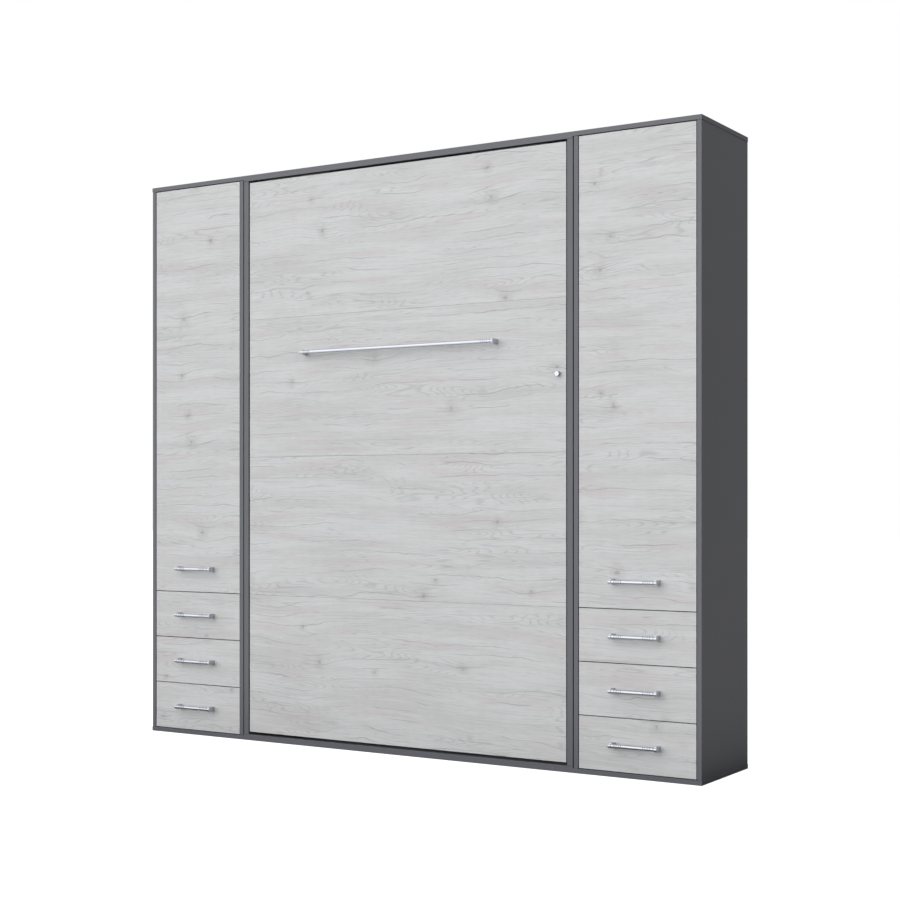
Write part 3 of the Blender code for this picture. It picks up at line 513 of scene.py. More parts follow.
studio = {
    "floorSize": 60.0,
    "floorUnder": 0.0005,
    "floorColour": "#a0a0a0",
    "floorLift": 0.94,  # towards the camera
    # painted shade: the floor gives less back close to the object; painted reflection: its glow seen only in
    # reflections grows away from the object
    "frontBounce": (0.17, 0.6),  # what the floor gives back to the object, growing over this distance
    "sideBounce": (0.30, 0.2),
    "frontMirrored": (1.35, 1.1),  # the same for reflections
    "sideMirrored": (0.10, 0.2),
    "keyPlace": (-7.0, -20.0, 7.6),
    "keyAim": (0.0, 0.0, 1.1),
    "keySize": (16.0, 15.0),
    "keyPower": 640.0,
    "skyFrom": (-0.45, -0.88, 0.15),  # the side that the soft light comes from
    "skyTurn": (-0.2, 1.0),
    "skyStrength": (0.30, 1.79),
}


def makeFloor():
    # white towards the camera; for the object, the floor is painted darker close by, as if in its own shadow
    # under a wide soft light (painted shade), and glows for reflections farther away (painted reflection)
    bm = bmesh.new()
    bmesh.ops.create_grid(bm, x_segments=1, y_segments=1, size=studio["floorSize"] / 2)
    mesh = bpy.data.meshes.new("floor")
    bm.to_mesh(mesh)
    bm.free()
    floor = bpy.data.objects.new("floor", mesh)
    floor.location.z = cadBox[0][2] - studio["floorUnder"]
    scene.collection.objects.link(floor)
    made = bpy.data.materials.new("paperFloor")
    tree = emptyTree(made)
    rays = addNode(tree, "LightPath")
    seen = rays.outputs["Is Camera Ray"]
    place = addNode(tree, "SeparateXYZ", {0: addNode(tree, "TexCoord").outputs["Object"]})

    def rising(coordinate, start, outwards, growth):
        most, distance = growth
        return smoothSpan(tree, place.outputs[coordinate], start, start + outwards * distance, 0.0, most)

    def aroundFront(front, side):
        return mathsOn(tree, "MAXIMUM", rising(1, cadBox[0][1], -1, front), rising(0, cadBox[1][0], 1, side))

    # painted shade: darker close to the object
    bounce = aroundFront(studio["frontBounce"], studio["sideBounce"])
    paper = addNode(tree, "BsdfDiffuse", {"Color": blended(tree, seen, bounce, studio["floorColour"])})
    # painted reflection: a glow that only glossy rays see
    mirrored = mathsOn(tree, "MULTIPLY", rays.outputs["Is Glossy Ray"],
                       aroundFront(studio["frontMirrored"], studio["sideMirrored"]))
    lift = mathsOn(tree, "MULTIPLY_ADD", seen, studio["floorLift"], mirrored)
    glow = addNode(tree, "Emission", {"Strength": lift})
    both = addNode(tree, "AddShader", {0: paper.outputs[0], 1: glow.outputs[0]})
    addNode(tree, "OutputMaterial", {"Surface": both.outputs[0]})
    mesh.materials.append(made)


def makeWorld():
    # white for the camera, and for the object a soft light that comes mostly from the front left
    world = bpy.data.worlds.new("studio")
    scene.world = world
    tree = emptyTree(world)
    seen = addNode(tree, "LightPath").outputs["Is Camera Ray"]
    towards = addNode(tree, "TexCoord").outputs["Generated"]
    facing = vectorMathsOn(tree, "DOT_PRODUCT", towards, Vector(studio["skyFrom"]).normalized())
    soft = smoothSpan(tree, facing, *studio["skyTurn"], *studio["skyStrength"])
    strength = addNode(tree, "Mix", {"data_type": "FLOAT", 3: 1.0, 0: seen, 2: soft}).outputs[0]
    sky = addNode(tree, "Background", {"Color": (1, 1, 1, 1), "Strength": strength})
    addNode(tree, "OutputWorld", {"Surface": sky.outputs[0]})


def makeKeyLight():
    light = bpy.data.lights.new("keyLight", "AREA")
    light.shape = "RECTANGLE"
    light.size, light.size_y = studio["keySize"]
    light.energy = studio["keyPower"]
    made = bpy.data.objects.new("keyLight", light)
    place = Vector(studio["keyPlace"])
    made.location = place
    made.rotation_euler = (Vector(studio["keyAim"]) - place).to_track_quat("-Z", "Y").to_euler()
    scene.collection.objects.link(made)


makeCamera()
makeFloor()
makeWorld()
makeKeyLight()
scene.view_settings.view_transform = "Standard"
print("camera, floor and light set")


# boards

boardEdge = {"radius": 0.0006, "tight": 0.00015, "segments": 2, "merge": 0.00002, "sharpest": 40}
decorPlace = ((0.3, 1.37), (0.1, 0.83), (0, 0))  # of the first front, and the step to each next one


def softenEdges(node, radius=boardEdge["radius"]):
    # edging tape leaves a small round on every board edge
    weld = node.modifiers.new("merge", "WELD")
    weld.merge_threshold = boardEdge["merge"]
    bevel = node.modifiers.new("edging", "BEVEL")
    bevel.width = radius
    bevel.segments = boardEdge["segments"]
    bevel.limit_method = "ANGLE"
    bevel.angle_limit = math.radians(boardEdge["sharpest"])


def paint(name, material):
    node = nodes[name]
    for holder in node.material_slots:
        holder.material = material


def finishBoards():
    dark = ["top_board", "bottom_board", "rear_rail_lower", "rear_rail_upper"]
    for side in sides:
        dark += [f"bed_side_{side}", f"cabinet_{side}_inner_side", f"cabinet_{side}_outer_side",
                 f"cabinet_{side}_divider", f"cabinet_{side}_shelf"]
        paint(f"cabinet_{side}_back", backSheet)
    for name in dark:
        paint(name, graphite)
        softenEdges(nodes[name])
    fronts = [f"bed_front_{number}" for number in boardNumbers]
    for side in sides:
        fronts.append(f"door_{side}")
        fronts += [f"drawer_{side}_{number}_front" for number in drawerNumbers]
    for count, name in enumerate(fronts):
        # each front is cut from another place of the decor
        shift = [first + step * count for first, step in decorPlace]
        paint(name, makePaleOak(f"paleOakMelamine{count + 1}", shift))
        softenEdges(nodes[name], boardEdge["tight" if name.startswith("bed_front") else "radius"])
    for side in sides:
        for number in drawerNumbers:
            paint(f"drawer_{side}_{number}_box", drawerBoard)
            softenEdges(nodes[f"drawer_{side}_{number}_box"])


finishBoards()
print("boards finished")


# handles

handle = {
    "bar": 0.0065,
    "grooveDepth": 0.0016,
    "grooveWidth": 0.0034,
    "grooveFloor": (0.25, 0.75),  # where it lies, as shares of the width
    "grooves": (0.0105, 0.023, 0.031, 0.039, 0.047),  # from each end
    "endRound": 0.0012,
    "endSteps": 4,
    "postIn": 0.007,  # middle of a post from the end of the bar
    "postWidth": 0.010,
    "postHeight": 0.018,
    "postRound": 0.0014,
    "postLap": 0.001,  # past the middle of the bar
}


def barEnd():
    # half of the bar's outline, from its end cap to its middle
    profile = []
    for step in range(handle["endSteps"] + 1):
        angle = math.pi / 2 * step / handle["endSteps"]
        profile.append((handle["endRound"] * (1 - math.cos(angle)),
                        handle["bar"] - handle["endRound"] * (1 - math.sin(angle))))
    floor = handle["bar"] - handle["grooveDepth"]
    for start in handle["grooves"]:
        profile.append((start, handle["bar"]))
        profile += [(start + share * handle["grooveWidth"], floor) for share in handle["grooveFloor"]]
        profile.append((start + handle["grooveWidth"], handle["bar"]))
    return profile


def makeHandle(node, body):
    low, high = corners(node)
    length = high.x - low.x
    barY = low.y + handle["bar"]
    middleZ = (low.z + high.z) / 2
    face = high.y + seat
    half = barEnd()
    profile = half + [(length - along, radius) for along, radius in reversed(half)]
    bm = bmesh.new()
    addTurned(bm, profile, (low.x, barY, middleZ), (1, 0, 0), 40)
    halfWidth = handle["postWidth"] / 2
    halfHeight = handle["postHeight"] / 2
    for end in (low.x + handle["postIn"], high.x - handle["postIn"]):
        addBlock(bm, (end - halfWidth, barY - handle["postLap"], middleZ - halfHeight),
                 (end + halfWidth, face, middleZ + halfHeight), handle["postRound"], 3)
    finishPiece(node + "_bar", bm, satinChrome, body, [node])


makeHandle("bed_handle", "bed")
for side in sides:
    makeHandle(f"door_{side}_handle", f"door_{side}")
    for number in drawerNumbers:
        makeHandle(f"drawer_{side}_{number}_handle", f"drawer_{side}_{number}")
print("handles made")


# bed lock

lock = {
    "knob": 0.0090,
    "knobLength": 0.015,
    "foot": (0.0016, 0.0020),  # the knob is widest at its foot
    "rim": 0.0003,
    "cap": 0.0078,
    "capRise": 0.0002,
    "barrel": 0.004,
    "camHalf": 0.006,
    "camThickness": 0.003,
    "camRound": 0.0009,
    "nut": (0.0048, 0.0018),
    "nutEdge": (0.0008, 0.0006),
    "slot": (0.0046, 0.0009),
    "slotDepth": (0.0001, 0.0004),  # in front of the cap and behind it
}


def makeLock():
    low, high = corners("bed_lock")
    x = (low.x + high.x) / 2
    radius = lock["knob"]
    length = lock["knobLength"]
    rim = lock["rim"]
    z = low.z + radius
    face = low.y + length
    camFront = high.y - lock["camThickness"]
    straight, drawnIn = lock["foot"]
    bm = bmesh.new()
    addTurned(bm, [(0, radius), (straight, radius), (drawnIn, radius - rim), (length - 2 * rim, radius - rim),
                   (length - rim, radius - 1.6 * rim), (length, radius - 3 * rim),
                   (length - rim, radius - 3.6 * rim)], (x, face, z), (0, -1, 0), 36)
    barrelLength = camFront - face + 0.001
    addTurned(bm, [(0, lock["barrel"]), (barrelLength, lock["barrel"])], (x, face, z), (0, 1, 0), 24)
    half = lock["camHalf"]
    addBlock(bm, (x - half, camFront, z - half), (x + half, high.y, high.z), lock["camRound"], 3)
    nut, rise = lock["nut"]
    edgeIn, edgeUnder = lock["nutEdge"]
    addTurned(bm, [(0, nut), (rise - edgeUnder, nut), (rise, nut - edgeIn)], (x, high.y, z), (0, 1, 0), 6)
    finishPiece("lockCylinder", bm, darkNickel, "bed_lock", ["bed_lock"], 30)

    front = face - length + rim
    cap = lock["cap"]
    bm = bmesh.new()
    addTurned(bm, [(0, cap), (lock["capRise"], cap)], (x, front, z), (0, -1, 0))
    finishPiece("lockCap", bm, satinChrome, "bed_lock")

    # the key slot is drawn as a small black block on the cap: painted shade of its hollow
    tall, wide = (size / 2 for size in lock["slot"])
    front -= lock["capRise"]
    ahead, behind = lock["slotDepth"]
    bm = bmesh.new()
    addBlock(bm, (x - wide, front - ahead, z - tall), (x + wide, front + behind, z + tall), ahead, 1)
    finishPiece("lockKeywayShade", bm, blackRubber, "bed_lock")


makeLock()


# screws, pins and caps

screw = {
    "head": 0.0045,
    "rise": 0.0024,
    "outline": ((0, 1), (0.45, 1), (0.85, 0.82), (1, 0.60), (1, 0.42), (0.45, 0.378)),  # with its socket
    "steps": 14,
}


def addScrew(bm, place, axis, head=screw["head"], rise=screw["rise"]):
    # a pan head with a round socket, standing on the surface at place
    addTurned(bm, shared(screw["outline"], rise, head), place, axis, screw["steps"])


plateScrews = {"in": 0.016, "rows": 5, "head": 0.0062, "rise": 0.0038, "plate": 0.003}


def makePlateScrews():
    for side, facing in sides.items():
        low, high = corners(f"mechanism_plate_{side}")
        face = faceOf(f"mechanism_plate_{side}", -facing) + facing * plateScrews["plate"]
        step = (high.z - low.z - 2 * plateScrews["in"]) / (plateScrews["rows"] - 1)
        bm = bmesh.new()
        for row in range(plateScrews["rows"]):
            z = low.z + plateScrews["in"] + row * step
            for y in (low.y + plateScrews["in"], high.y - plateScrews["in"]):
                addScrew(bm, (face, y, z), (facing, 0, 0), plateScrews["head"], plateScrews["rise"])
        finishPiece(f"mechanismPlateScrews_{side}", bm, zincSteel, "cabinet")


wallScrews = {
    "across": (-0.56, -0.19, 0.19, 0.56),
    "head": 0.0070,
    "rise": 0.0042,
    "washer": (0.012, 0.0012),  # radius, and thickness up to its bevelled edge
    "washerTop": 0.0014,
}


def makeWallScrews():
    radius, edge = wallScrews["washer"]
    bm = bmesh.new()
    for rail in ("rear_rail_lower", "rear_rail_upper"):
        low, high = corners(rail)
        for x in wallScrews["across"]:
            place = Vector((x, low.y, (low.z + high.z) / 2))
            addTurned(bm, [(0, radius), (edge, radius), (wallScrews["washerTop"], 0)], place, (0, -1, 0), 24)
            place.y -= (edge + wallScrews["washerTop"]) / 2
            addScrew(bm, place, (0, -1, 0), wallScrews["head"], wallScrews["rise"])
    finishPiece("wallScrews", bm, zincSteel, "cabinet")


connectors = {
    "heights": (0.13, 0.72, 1.38, 2.02),
    "fromBack": 0.045,
    "board": 0.016,  # of the cabinets
    "radius": 0.0075,
    "rise": 0.0014,
    "outline": ((0, 1), (0.6, 1), (1, 0.8), (1, 0.35), (0.3, 0.3)),  # shares of rise and radius
}


def makeConnectors():
    # flat heads of the sleeve bolts that hold the cabinets to the bed unit
    outline = shared(connectors["outline"], connectors["rise"], connectors["radius"])
    bm = bmesh.new()
    for side, facing in sides.items():
        y = corners(f"bed_side_{side}")[1].y - connectors["fromBack"]
        inBed = faceOf(f"bed_side_{side}", facing)
        inCabinet = faceOf(f"cabinet_{side}_inner_side", facing) - facing * connectors["board"]
        for z in connectors["heights"]:
            for x, axis in ((inBed, facing), (inCabinet, -facing)):
                addTurned(bm, outline, (x, y, z), (axis, 0, 0), 20)
    finishPiece("connectorBolts", bm, zincSteel, "cabinet")


# the strips sit close behind the fronts so that their black shows in the joint as painted shade
gapShadeSpacers = {"fromFront": 0.0112, "half": 0.010, "round": 0.0003}


def makeGapShadeSpacerStrips():
    # black foam strips between the units, which the bolts clamp; set close behind the fronts and made near
    # black so that the joint between the units reads dark: painted shade of the gap
    bm = bmesh.new()
    for side in sides:
        bedLow, bedHigh = corners(f"bed_side_{side}")
        cabinetLow, cabinetHigh = corners(f"cabinet_{side}_inner_side")
        left, right = sorted((bedLow.x, bedHigh.x, cabinetLow.x, cabinetHigh.x))[1:3]
        for y in (bedLow.y + gapShadeSpacers["fromFront"], bedHigh.y - connectors["fromBack"]):
            addBlock(bm, (left + seat, y - gapShadeSpacers["half"], bedLow.z + seat),
                     (right - seat, y + gapShadeSpacers["half"], bedHigh.z - seat), gapShadeSpacers["round"], 1)
    finishPiece("gapShadeSpacerStrips", bm, gapShadeFoam, "cabinet")


frontScrews = {"fromSide": 0.060, "fromEdge": 0.030, "board": 0.012}


def makeFrontScrews():
    # the heads that hold each handle and each drawer front, seen from inside
    for side in sides:
        back = corners(f"door_{side}")[1].y
        low, high = corners(f"door_{side}_handle")
        bm = bmesh.new()
        for x in (low.x + handle["postIn"], high.x - handle["postIn"]):
            addScrew(bm, (x, back, (low.z + high.z) / 2), (0, 1, 0))
        finishPiece(f"doorHandleScrews_{side}", bm, zincSteel, f"door_{side}")
        for number in drawerNumbers:
            low, high = corners(f"drawer_{side}_{number}_box")
            bm = bmesh.new()
            for x in (low.x + frontScrews["fromSide"], high.x - frontScrews["fromSide"]):
                for z in (low.z + frontScrews["fromEdge"], high.z - frontScrews["fromEdge"]):
                    addScrew(bm, (x, low.y + frontScrews["board"], z), (0, 1, 0))
            finishPiece(f"drawerFrontScrews_{side}_{number}", bm, zincSteel, f"drawer_{side}_{number}")


shelfPin = {
    "radius": 0.0025,
    "length": 0.009,
    "flange": 0.0045,
    "flangeEdge": 0.001,
    "flangeTop": 0.0014,
    "fromEnd": 0.045,
    "under": 0.0002,
}


def makeShelfPins():
    radius = shelfPin["radius"]
    flange = shelfPin["flange"]
    outline = [(0, flange), (shelfPin["flangeEdge"], flange), (shelfPin["flangeTop"], radius),
               (shelfPin["length"], radius)]
    bm = bmesh.new()
    for side in sides:
        low, high = corners(f"cabinet_{side}_shelf")
        z = low.z - flange - shelfPin["under"]
        for x, facing in ((low.x - seat, 1), (high.x + seat, -1)):
            for y in (low.y + shelfPin["fromEnd"], high.y - shelfPin["fromEnd"]):
                addTurned(bm, outline, (x, y, z), (facing, 0, 0), 16)
    finishPiece("shelfPins", bm, zincSteel, "cabinet")


makePlateScrews()
makeWallScrews()
makeConnectors()
makeGapShadeSpacerStrips()
makeFrontScrews()
makeShelfPins()
print("lock, screws and pins made")


# door hinges

hinge = {
    "plate": 0.0022,
    "plateDepth": (0.020, 0.055),  # behind the back of the door
    "plateRound": 0.0008,
    "arm": (0.0060, 0.051),
    "armHalf": 0.0070,
    "armRise": 0.011,
    "nose": (0.0022, 0.0105),  # the arm's end, which reaches over the cup
    "noseHalf": 0.0060,
    "noseLap": 0.005,
    "round": 0.0018,
    "reach": 0.030,
    "plateScrew": (0.0042, 0.0022),  # head and rise
    "plateScrewsUp": (-0.016, 0.016),
    "armScrew": (0.0036, 0.0016),
    "armScrewsIn": (0.020, 0.038),
    "cup": 0.0175,
    "cupRise": 0.0012,
    "cupRims": ((0, 0), (0.7, 0), (1, 0.001), (1, 0.0035), (0.3, 0.0045)),  # share of rise, and how far in
    "wingHalf": (0.0060, 0.0250),
    "wingRound": 0.0004,
    "wingScrew": (0.0034, 0.0012),
    "wingScrewsUp": (-0.0215, 0.0215),
    "smooth": 35,
}


def hingeWall(side, level):
    # where the hinge meets the cabinet's wall, and its middle height
    node = f"door_{side}_hinge_{level}"
    low, high = corners(node)
    return faceOf(node, -sides[side]), (low.z + high.z) / 2


def makeHingeArm(side, level):
    node = f"door_{side}_hinge_{level}"
    low, high = corners(node)
    back = low.y
    facing = sides[side]
    wall, z = hingeWall(side, level)
    bm = bmesh.new()

    def block(x, y, half, edge):
        left, right = sorted(wall + facing * end for end in x)
        addBlock(bm, (left, back + y[0], z - half), (right, back + y[1], z + half), edge, 2)

    plate = hinge["plate"]
    armRise = hinge["armRise"]
    block((0, plate), hinge["plateDepth"], high.z - z, hinge["plateRound"])
    block((plate, armRise), hinge["arm"], hinge["armHalf"], hinge["round"])
    block((armRise - hinge["noseLap"], hinge["reach"]), hinge["nose"], hinge["noseHalf"], hinge["round"])
    plateMiddle = back + sum(hinge["plateDepth"]) / 2
    for up in hinge["plateScrewsUp"]:
        addScrew(bm, (wall + facing * plate, plateMiddle, z + up), (facing, 0, 0), *hinge["plateScrew"])
    for inwards in hinge["armScrewsIn"]:
        addScrew(bm, (wall + facing * armRise, back + inwards, z), (facing, 0, 0), *hinge["armScrew"])
    finishPiece(f"hingeArm_{side}_{level}", bm, zincSteel, "cabinet", [node], hinge["smooth"])


def makeHingeCup(side, level):
    wall, z = hingeWall(side, level)
    x = wall + sides[side] * hinge["reach"]
    door = corners(f"door_{side}")[1].y
    radius = hinge["cup"]
    lip = hinge["cupRise"]
    bm = bmesh.new()
    addTurned(bm, [(lip * share, radius - rim) for share, rim in hinge["cupRims"]], (x, door, z), (0, 1, 0))
    wide, tall = hinge["wingHalf"]
    addBlock(bm, (x - wide, door, z - tall), (x + wide, door + lip * 0.6, z + tall), hinge["wingRound"], 1)
    for up in hinge["wingScrewsUp"]:
        addScrew(bm, (x, door + lip * 0.5, z + up), (0, 1, 0), *hinge["wingScrew"])
    finishPiece(f"hingeCup_{side}_{level}", bm, zincSteel, f"door_{side}", (), hinge["smooth"])


hingeLink = {
    "thickness": 0.0016,
    "half": 0.0045,
    "start": 0.016,
    "rise": (0.0060, 0.0010),  # off the door's back, at the arm and at the cup
    "off": 0.0004,
    "round": 0.0005,
    "cuts": 6,
}


def makeHingeLink(side, level):
    # the flat link between the arm and the cup
    facing = sides[side]
    wall, z = hingeWall(side, level)
    door = corners(f"door_{side}")[1].y
    start = Vector((wall + facing * hingeLink["start"], door + hingeLink["rise"][0], z))
    end = Vector((wall + facing * hinge["reach"], door + hingeLink["rise"][1], z))
    left, right = sorted((start.x, end.x))
    under = door + hingeLink["off"]
    bm = bmesh.new()
    addBlock(bm, (left, under, z - hingeLink["half"]),
             (right, under + hingeLink["thickness"], z + hingeLink["half"]), hingeLink["round"], 1)
    cutLongEdges(bm, (right - left) * 0.7, hingeLink["cuts"])
    for vert in bm.verts:
        share = (end.x - vert.co.x) / (end.x - start.x)
        vert.co.y += share * (start.y - end.y)
    link = finishPiece(f"hingeLink_{side}_{level}", bm, zincSteel, None, (), hinge["smooth"])
    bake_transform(link)


for side in sides:
    for level in ("lower", "upper"):
        makeHingeArm(side, level)
        makeHingeCup(side, level)
        makeHingeLink(side, level)
print("door hinges made")


# bed frame, springs and legs

legSleeve = {"wall": 0.0009, "length": 0.032, "end": 0.0004, "round": 0.0008}
pinCap = {
    "radius": 0.0065,
    "rise": 0.0016,
    "outline": ((0, 1), (0.6, 1), (1, 0.7)),
    "eye": 0.010,
    "in": 0.0035,
}


def finishSteel():
    paint("bed_frame", blackCoat)
    softenEdges(nodes["bed_frame"])
    for side in sides:
        paint(f"mechanism_plate_{side}", blackCoat)
        paint(f"gas_spring_{side}_cylinder", blackCoat)
        paint(f"gas_spring_{side}_rod", satinChrome)
        paint(f"leg_{side}", blackCoat)
        softenEdges(nodes[f"leg_{side}"])


def makeLegSleeves():
    for side, facing in sides.items():
        low, high = corners(f"leg_{side}")
        tip = faceOf(f"leg_{side}", facing)
        wall = legSleeve["wall"]
        left, right = sorted((tip + facing * legSleeve["end"], tip - facing * legSleeve["length"]))
        bm = bmesh.new()
        addBlock(bm, (left, low.y - wall, low.z - wall), (right, high.y + wall, high.z + wall),
                 legSleeve["round"], 3)
        finishPiece(f"legSleeve_{side}", bm, blackRubber, f"leg_{side}")


def makeSpringClips():
    # a push-on cap keeps each spring's eye on its pin
    outline = shared(pinCap["outline"], pinCap["rise"], pinCap["radius"])
    for side, facing in sides.items():
        high = corners(f"gas_spring_{side}_cylinder")[1]
        x = faceOf(f"gas_spring_{side}_cylinder", facing) - facing * pinCap["in"]
        bm = bmesh.new()
        addTurned(bm, outline, (x, high.y - pinCap["eye"], high.z - pinCap["eye"]), (facing, 0, 0), 24)
        finishPiece(f"springClip_{side}", bm, zincSteel, "cabinet")


finishSteel()
makeLegSleeves()
makeSpringClips()
print("steel finished")


# slat base

slats = {
    "count": 13,
    "width": 0.080,
    "widthIn": 0.002,
    "thickness": 0.010,
    "bow": 0.007,
    "round": 0.0022,
    "cuts": 12,
    "endIn": 0.002,
    "bearerWidth": 0.046,
    "bearerRound": 0.0015,
    "holderLength": 0.040,
    "holderWall": 0.0025,
    "holderPast": (0.0015, 0.001),  # past the slat's end and its edges
    "holderRound": 0.0012,
}


def makeSlats():
    low, high = corners("slat_base")
    step = (high.z - low.z - slats["width"]) / (slats["count"] - 1)
    front = high.y - slats["thickness"]
    half = high.x - slats["endIn"]
    bottoms = [low.z + number * step for number in range(slats["count"])]
    bm = bmesh.new()
    for bottom in bottoms:
        addBlock(bm, (-half, front, bottom + slats["widthIn"]),
                 (half, high.y, bottom + slats["width"] - slats["widthIn"]), slats["round"], 3)
    cutLongEdges(bm, half, slats["cuts"])
    for vert in bm.verts:
        vert.co.y -= slats["bow"] * (vert.co.x / half) ** 2
    finishPiece("sprungSlats", bm, beech, "bed", ["slat_base"], 50)

    holderFront = front - slats["bow"] - slats["holderWall"]
    bm = bmesh.new()
    for end in (-high.x, high.x):
        left, right = sorted((end, end - math.copysign(slats["bearerWidth"], end)))
        addBlock(bm, (left, low.y, low.z), (right, holderFront, high.z), slats["bearerRound"], 2)
    finishPiece("slatBearers", bm, beech, "bed")

    pastEnd, pastEdge = slats["holderPast"]
    holderBack = high.y - slats["bow"] + slats["holderWall"]
    bm = bmesh.new()
    for bottom in bottoms:
        under = max(bottom - pastEdge, low.z)
        over = min(bottom + slats["width"] + pastEdge, high.z)
        for facing in (-1, 1):
            left, right = sorted((facing * (half + pastEnd), facing * (half - slats["holderLength"])))
            addBlock(bm, (left, holderFront, under), (right, holderBack, over), slats["holderRound"], 2)
    finishPiece("slatHolders", bm, greyNylon, "bed")


makeSlats()
print("slat base made")


# mattress

mattress = {
    "startIn": 0.008,  # the pad swells out to the size of the solid
    "corner": 0.022,
    "voxel": 0.016,
    "pressure": 4.0,
    "quality": 4,
    "frames": 20,
    "cap": 0.010,
    "boxIn": 0.0006,
    "fill": 0.9,
    "flat": 0.40,  # the quilted faces lie beyond this share of the height from the middle
    "quilt": 0.17,  # side of a quilted diamond
    "quiltWidth": 0.011,
    "quiltDepth": 0.0045,
    "quiltEdge": (0.02, 0.03),  # plain along the edge, then growing over this
    "strapPress": 0.0022,
    "strapPast": 0.004,
    "piping": 0.0035,
    "pipingIn": 0.015,
    "pipingSunk": 0.3,
    "pipingSteps": 8,
    "pipingBetween": tuple(step / 24 for step in range(1, 24)),
}


def applied(piece):
    # the piece's mesh with its modifiers applied
    scene.view_layers[0].update()
    graph = bpy.context.evaluated_depsgraph_get()
    mesh = bpy.data.meshes.new_from_object(piece.evaluated_get(graph))
    old = piece.data
    piece.modifiers.clear()
    piece.data = mesh
    bpy.data.meshes.remove(old)


def swell(piece):
    # cloth under a little air pressure, with each point's travel capped
    start = [vert.co.copy() for vert in piece.data.vertices]
    cloth = piece.modifiers.new("air", "CLOTH")
    cloth.settings.use_pressure = True
    cloth.settings.uniform_pressure_force = mattress["pressure"]
    cloth.settings.effector_weights.gravity = 0
    cloth.settings.quality = mattress["quality"]
    cloth.point_cache.frame_end = mattress["frames"]
    for number in range(1, mattress["frames"] + 1):
        scene.frame_set(number)
    applied(piece)
    scene.frame_set(1)
    for vert, first in zip(piece.data.vertices, start):
        travel = vert.co - first
        if travel.length > mattress["cap"]:
            vert.co = first + travel.normalized() * mattress["cap"]


def quiltDepth(x, z):
    # how far a point of the top or underside is drawn in by the diamond stitching
    pitch = mattress["quilt"] * math.sqrt(2)
    depth = 0
    for across in (x + z, x - z):
        off = abs((across / pitch + 0.5) % 1 - 0.5) * pitch / math.sqrt(2)
        depth = max(depth, math.exp(-(off / mattress["quiltWidth"]) ** 2))
    return depth * mattress["quiltDepth"]


def makePad(low, high):
    # a rounded block, filled with air and smoothed
    inset = Vector((1, 1, 1)) * mattress["startIn"]
    bm = bmesh.new()
    addBlock(bm, low + inset, high - inset, mattress["corner"], 5)
    pad = finishPiece("mattressPad", bm, ticking, "bed", ["mattress"], 180)
    remesh = pad.modifiers.new("even", "REMESH")
    remesh.mode = "VOXEL"
    remesh.voxel_size = mattress["voxel"]
    applied(pad)
    swell(pad)
    smooth = pad.modifiers.new("fine", "SUBSURF")
    smooth.levels = 1
    smooth.render_levels = 1
    applied(pad)
    return pad


def makeMattress():
    low, high = corners("mattress")
    pad = makePad(low, high)
    inside = Vector((1, 1, 1)) * mattress["boxIn"]
    least = low + inside
    most = high - inside
    middle = (low + high) / 2
    strapLow, strapHigh = corners("mattress_strap")
    plainEdge, growing = mattress["quiltEdge"]
    grown = [Vector([pick(vert.co[axis] for vert in pad.data.vertices) for axis in range(3)])
             for pick in (min, max)]
    for vert in pad.data.vertices:
        co = vert.co
        for axis in range(3):
            share = (co[axis] - grown[0][axis]) / (grown[1][axis] - grown[0][axis])
            co[axis] = least[axis] + share * (most[axis] - least[axis])
        fromEdge = min(most.x - abs(co.x), co.z - least.z, most.z - co.z)
        if abs(co.y - middle.y) > (most.y - least.y) * mattress["flat"] and fromEdge > plainEdge:
            drawn = quiltDepth(co.x, co.z - middle.z) * min(1, (fromEdge - plainEdge) / growing)
            co.y -= math.copysign(drawn, co.y - middle.y)
        if strapLow.z - mattress["strapPast"] < co.z < strapHigh.z + mattress["strapPast"]:
            co.y = min(co.y, most.y - mattress["strapPress"])
        for axis in range(3):
            co[axis] = min(max(co[axis], least[axis]), most[axis])
    pad.data.materials.clear()
    pad.data.materials.append(ticking)
    pad.data.shade_smooth()
    makePiping(pad, low, high)


def makePiping(pad, low, high):
    # tape edges, top and bottom, sewn over the seams of the border and following the pad
    radius = mattress["piping"]
    skin = BVHTree.FromPolygons([vert.co for vert in pad.data.vertices],
                                [face.vertices for face in pad.data.polygons])
    bm = bmesh.new()
    for y in (low.y + mattress["pipingIn"], high.y - mattress["pipingIn"]):
        path = []
        for x, z, outward in aroundBorder(low, high):
            inward = Vector((-outward[0], 0, -outward[1]))
            found = skin.ray_cast(Vector((x, y, z)) - inward * 0.1, inward)[0]
            place = found - inward * radius * mattress["pipingSunk"]
            place.x = min(max(place.x, low.x + radius), high.x - radius)
            place.z = min(max(place.z, low.z + radius), high.z - radius)
            path.append(place)
        addTube(bm, path, radius, 10)
    finishPiece("mattressPiping", bm, borderTicking, "bed")


def aroundBorder(low, high):
    # points round the border with their outward directions, closer together at the corners
    corner = mattress["corner"]
    quarters = ((high.x - corner, high.z - corner, 0), (low.x + corner, high.z - corner, 90),
                (low.x + corner, low.z + corner, 180), (high.x - corner, low.z + corner, 270))
    steps = mattress["pipingSteps"]
    for number, (x, z, first) in enumerate(quarters):
        for step in range(steps + 1):
            angle = math.radians(first + step * 90 / steps)
            outward = (math.cos(angle), math.sin(angle))
            yield x + corner * outward[0], z + corner * outward[1], outward
        nextX, nextZ = quarters[(number + 1) % 4][:2]
        for share in mattress["pipingBetween"]:
            yield (x + (nextX - x) * share + corner * outward[0],
                   z + (nextZ - z) * share + corner * outward[1], outward)


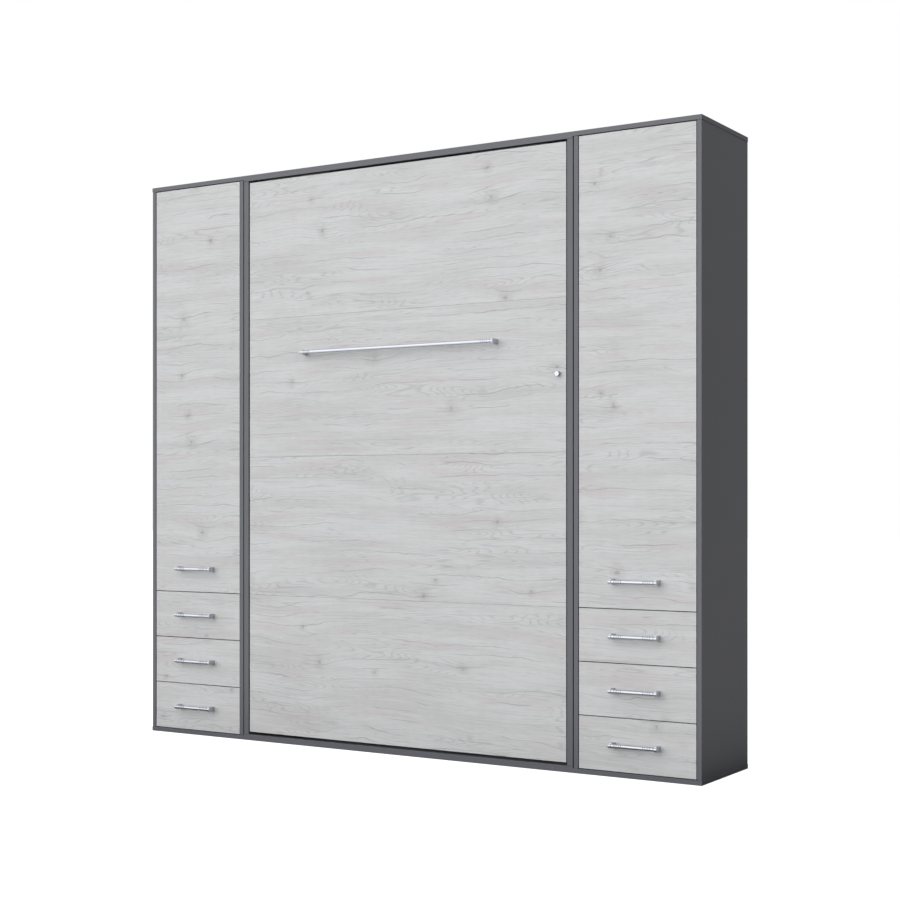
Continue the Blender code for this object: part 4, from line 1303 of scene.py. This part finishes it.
def addTube(bm, path, radius, sideCount):
    # a closed tube along a flat loop of points across Y
    rings = []
    for place, before, after in zip(path, path[-1:] + path[:-1], path[1:] + path[:1]):
        along = (after - before).normalized()
        out = along.cross(Vector((0, 1, 0)))
        ring = bmesh.ops.create_circle(bm, segments=sideCount, radius=radius)["verts"]
        turned = Matrix((out, Vector((0, 1, 0)), along)).transposed().to_4x4()
        bmesh.ops.transform(bm, matrix=Matrix.Translation(place) @ turned, verts=ring)
        rings.append(ring)
    joinRings(bm, rings, closed=True)


strap = {
    "thickness": 0.0013,
    "corner": 0.020,
    "cornerSteps": 6,
    "tab": 0.018,
    "offMattress": 0.0015,
    "footCorner": 0.003,
}


def strapPath(low, high):
    # the middle of the webbing across half the bed, from the tab on the frame to the middle of the mattress
    half = strap["thickness"] / 2
    corner = strap["corner"]
    side = high.x - strap["tab"] - strap["offMattress"]
    foot = strap["footCorner"]
    path = [(high.x, low.y + half), (side + foot, low.y + half), (side, low.y + foot)]
    for step in range(strap["cornerSteps"] + 1):
        angle = math.pi / 2 * step / strap["cornerSteps"]
        path.append((side - corner * (1 - math.cos(angle)), high.y - half - corner * (1 - math.sin(angle))))
    path.append((0, high.y - half))
    return path


def makeStrap():
    low, high = corners("mattress_strap")
    halfPath = strapPath(low, high)
    path = halfPath + [(-x, y) for x, y in reversed(halfPath[:-1])]
    bm = bmesh.new()
    rings = []
    for number, (x, y) in enumerate(path):
        before = Vector(path[max(number - 1, 0)])
        after = Vector(path[min(number + 1, len(path) - 1)])
        along = (after - before).normalized()
        out = Vector((along.y, -along.x)) * strap["thickness"] / 2
        ring = []
        for sign, z in ((-1, low.z), (1, low.z), (1, high.z), (-1, high.z)):
            ring.append(bm.verts.new((x + sign * out.x, y + sign * out.y, z)))
        rings.append(ring)
    joinRings(bm, rings)
    bm.faces.new(rings[0])
    bm.faces.new(rings[-1])
    finishPiece("mattressStrap", bm, webbing, "bed", ["mattress_strap"])
    makeBuckle((low.z + high.z) / 2, high.y - strap["thickness"])


buckle = {"x": 0.14, "length": 0.052, "height": 0.053, "bar": 0.0040, "rise": 0.0014, "round": 0.0009}


def makeBuckle(z, surface):
    # a flat slider buckle, threaded on the webbing
    bm = bmesh.new()
    left, right = (buckle["x"] + end * buckle["length"] / 2 for end in (-1, 1))
    under, over = (z + end * buckle["height"] / 2 for end in (-1, 1))
    half = buckle["bar"] / 2
    back = surface - buckle["rise"]
    front = surface + buckle["rise"]
    for x in (left, buckle["x"], right):
        addBlock(bm, (x - half, back, under), (x + half, front, over), buckle["round"], 2)
    for end in (under, over):
        addBlock(bm, (left, back, end - half), (right, front, end + half), buckle["round"], 2)
    finishPiece("strapBuckle", bm, greyNylon, "bed")


makeMattress()
makeStrap()
print("mattress and strap made")
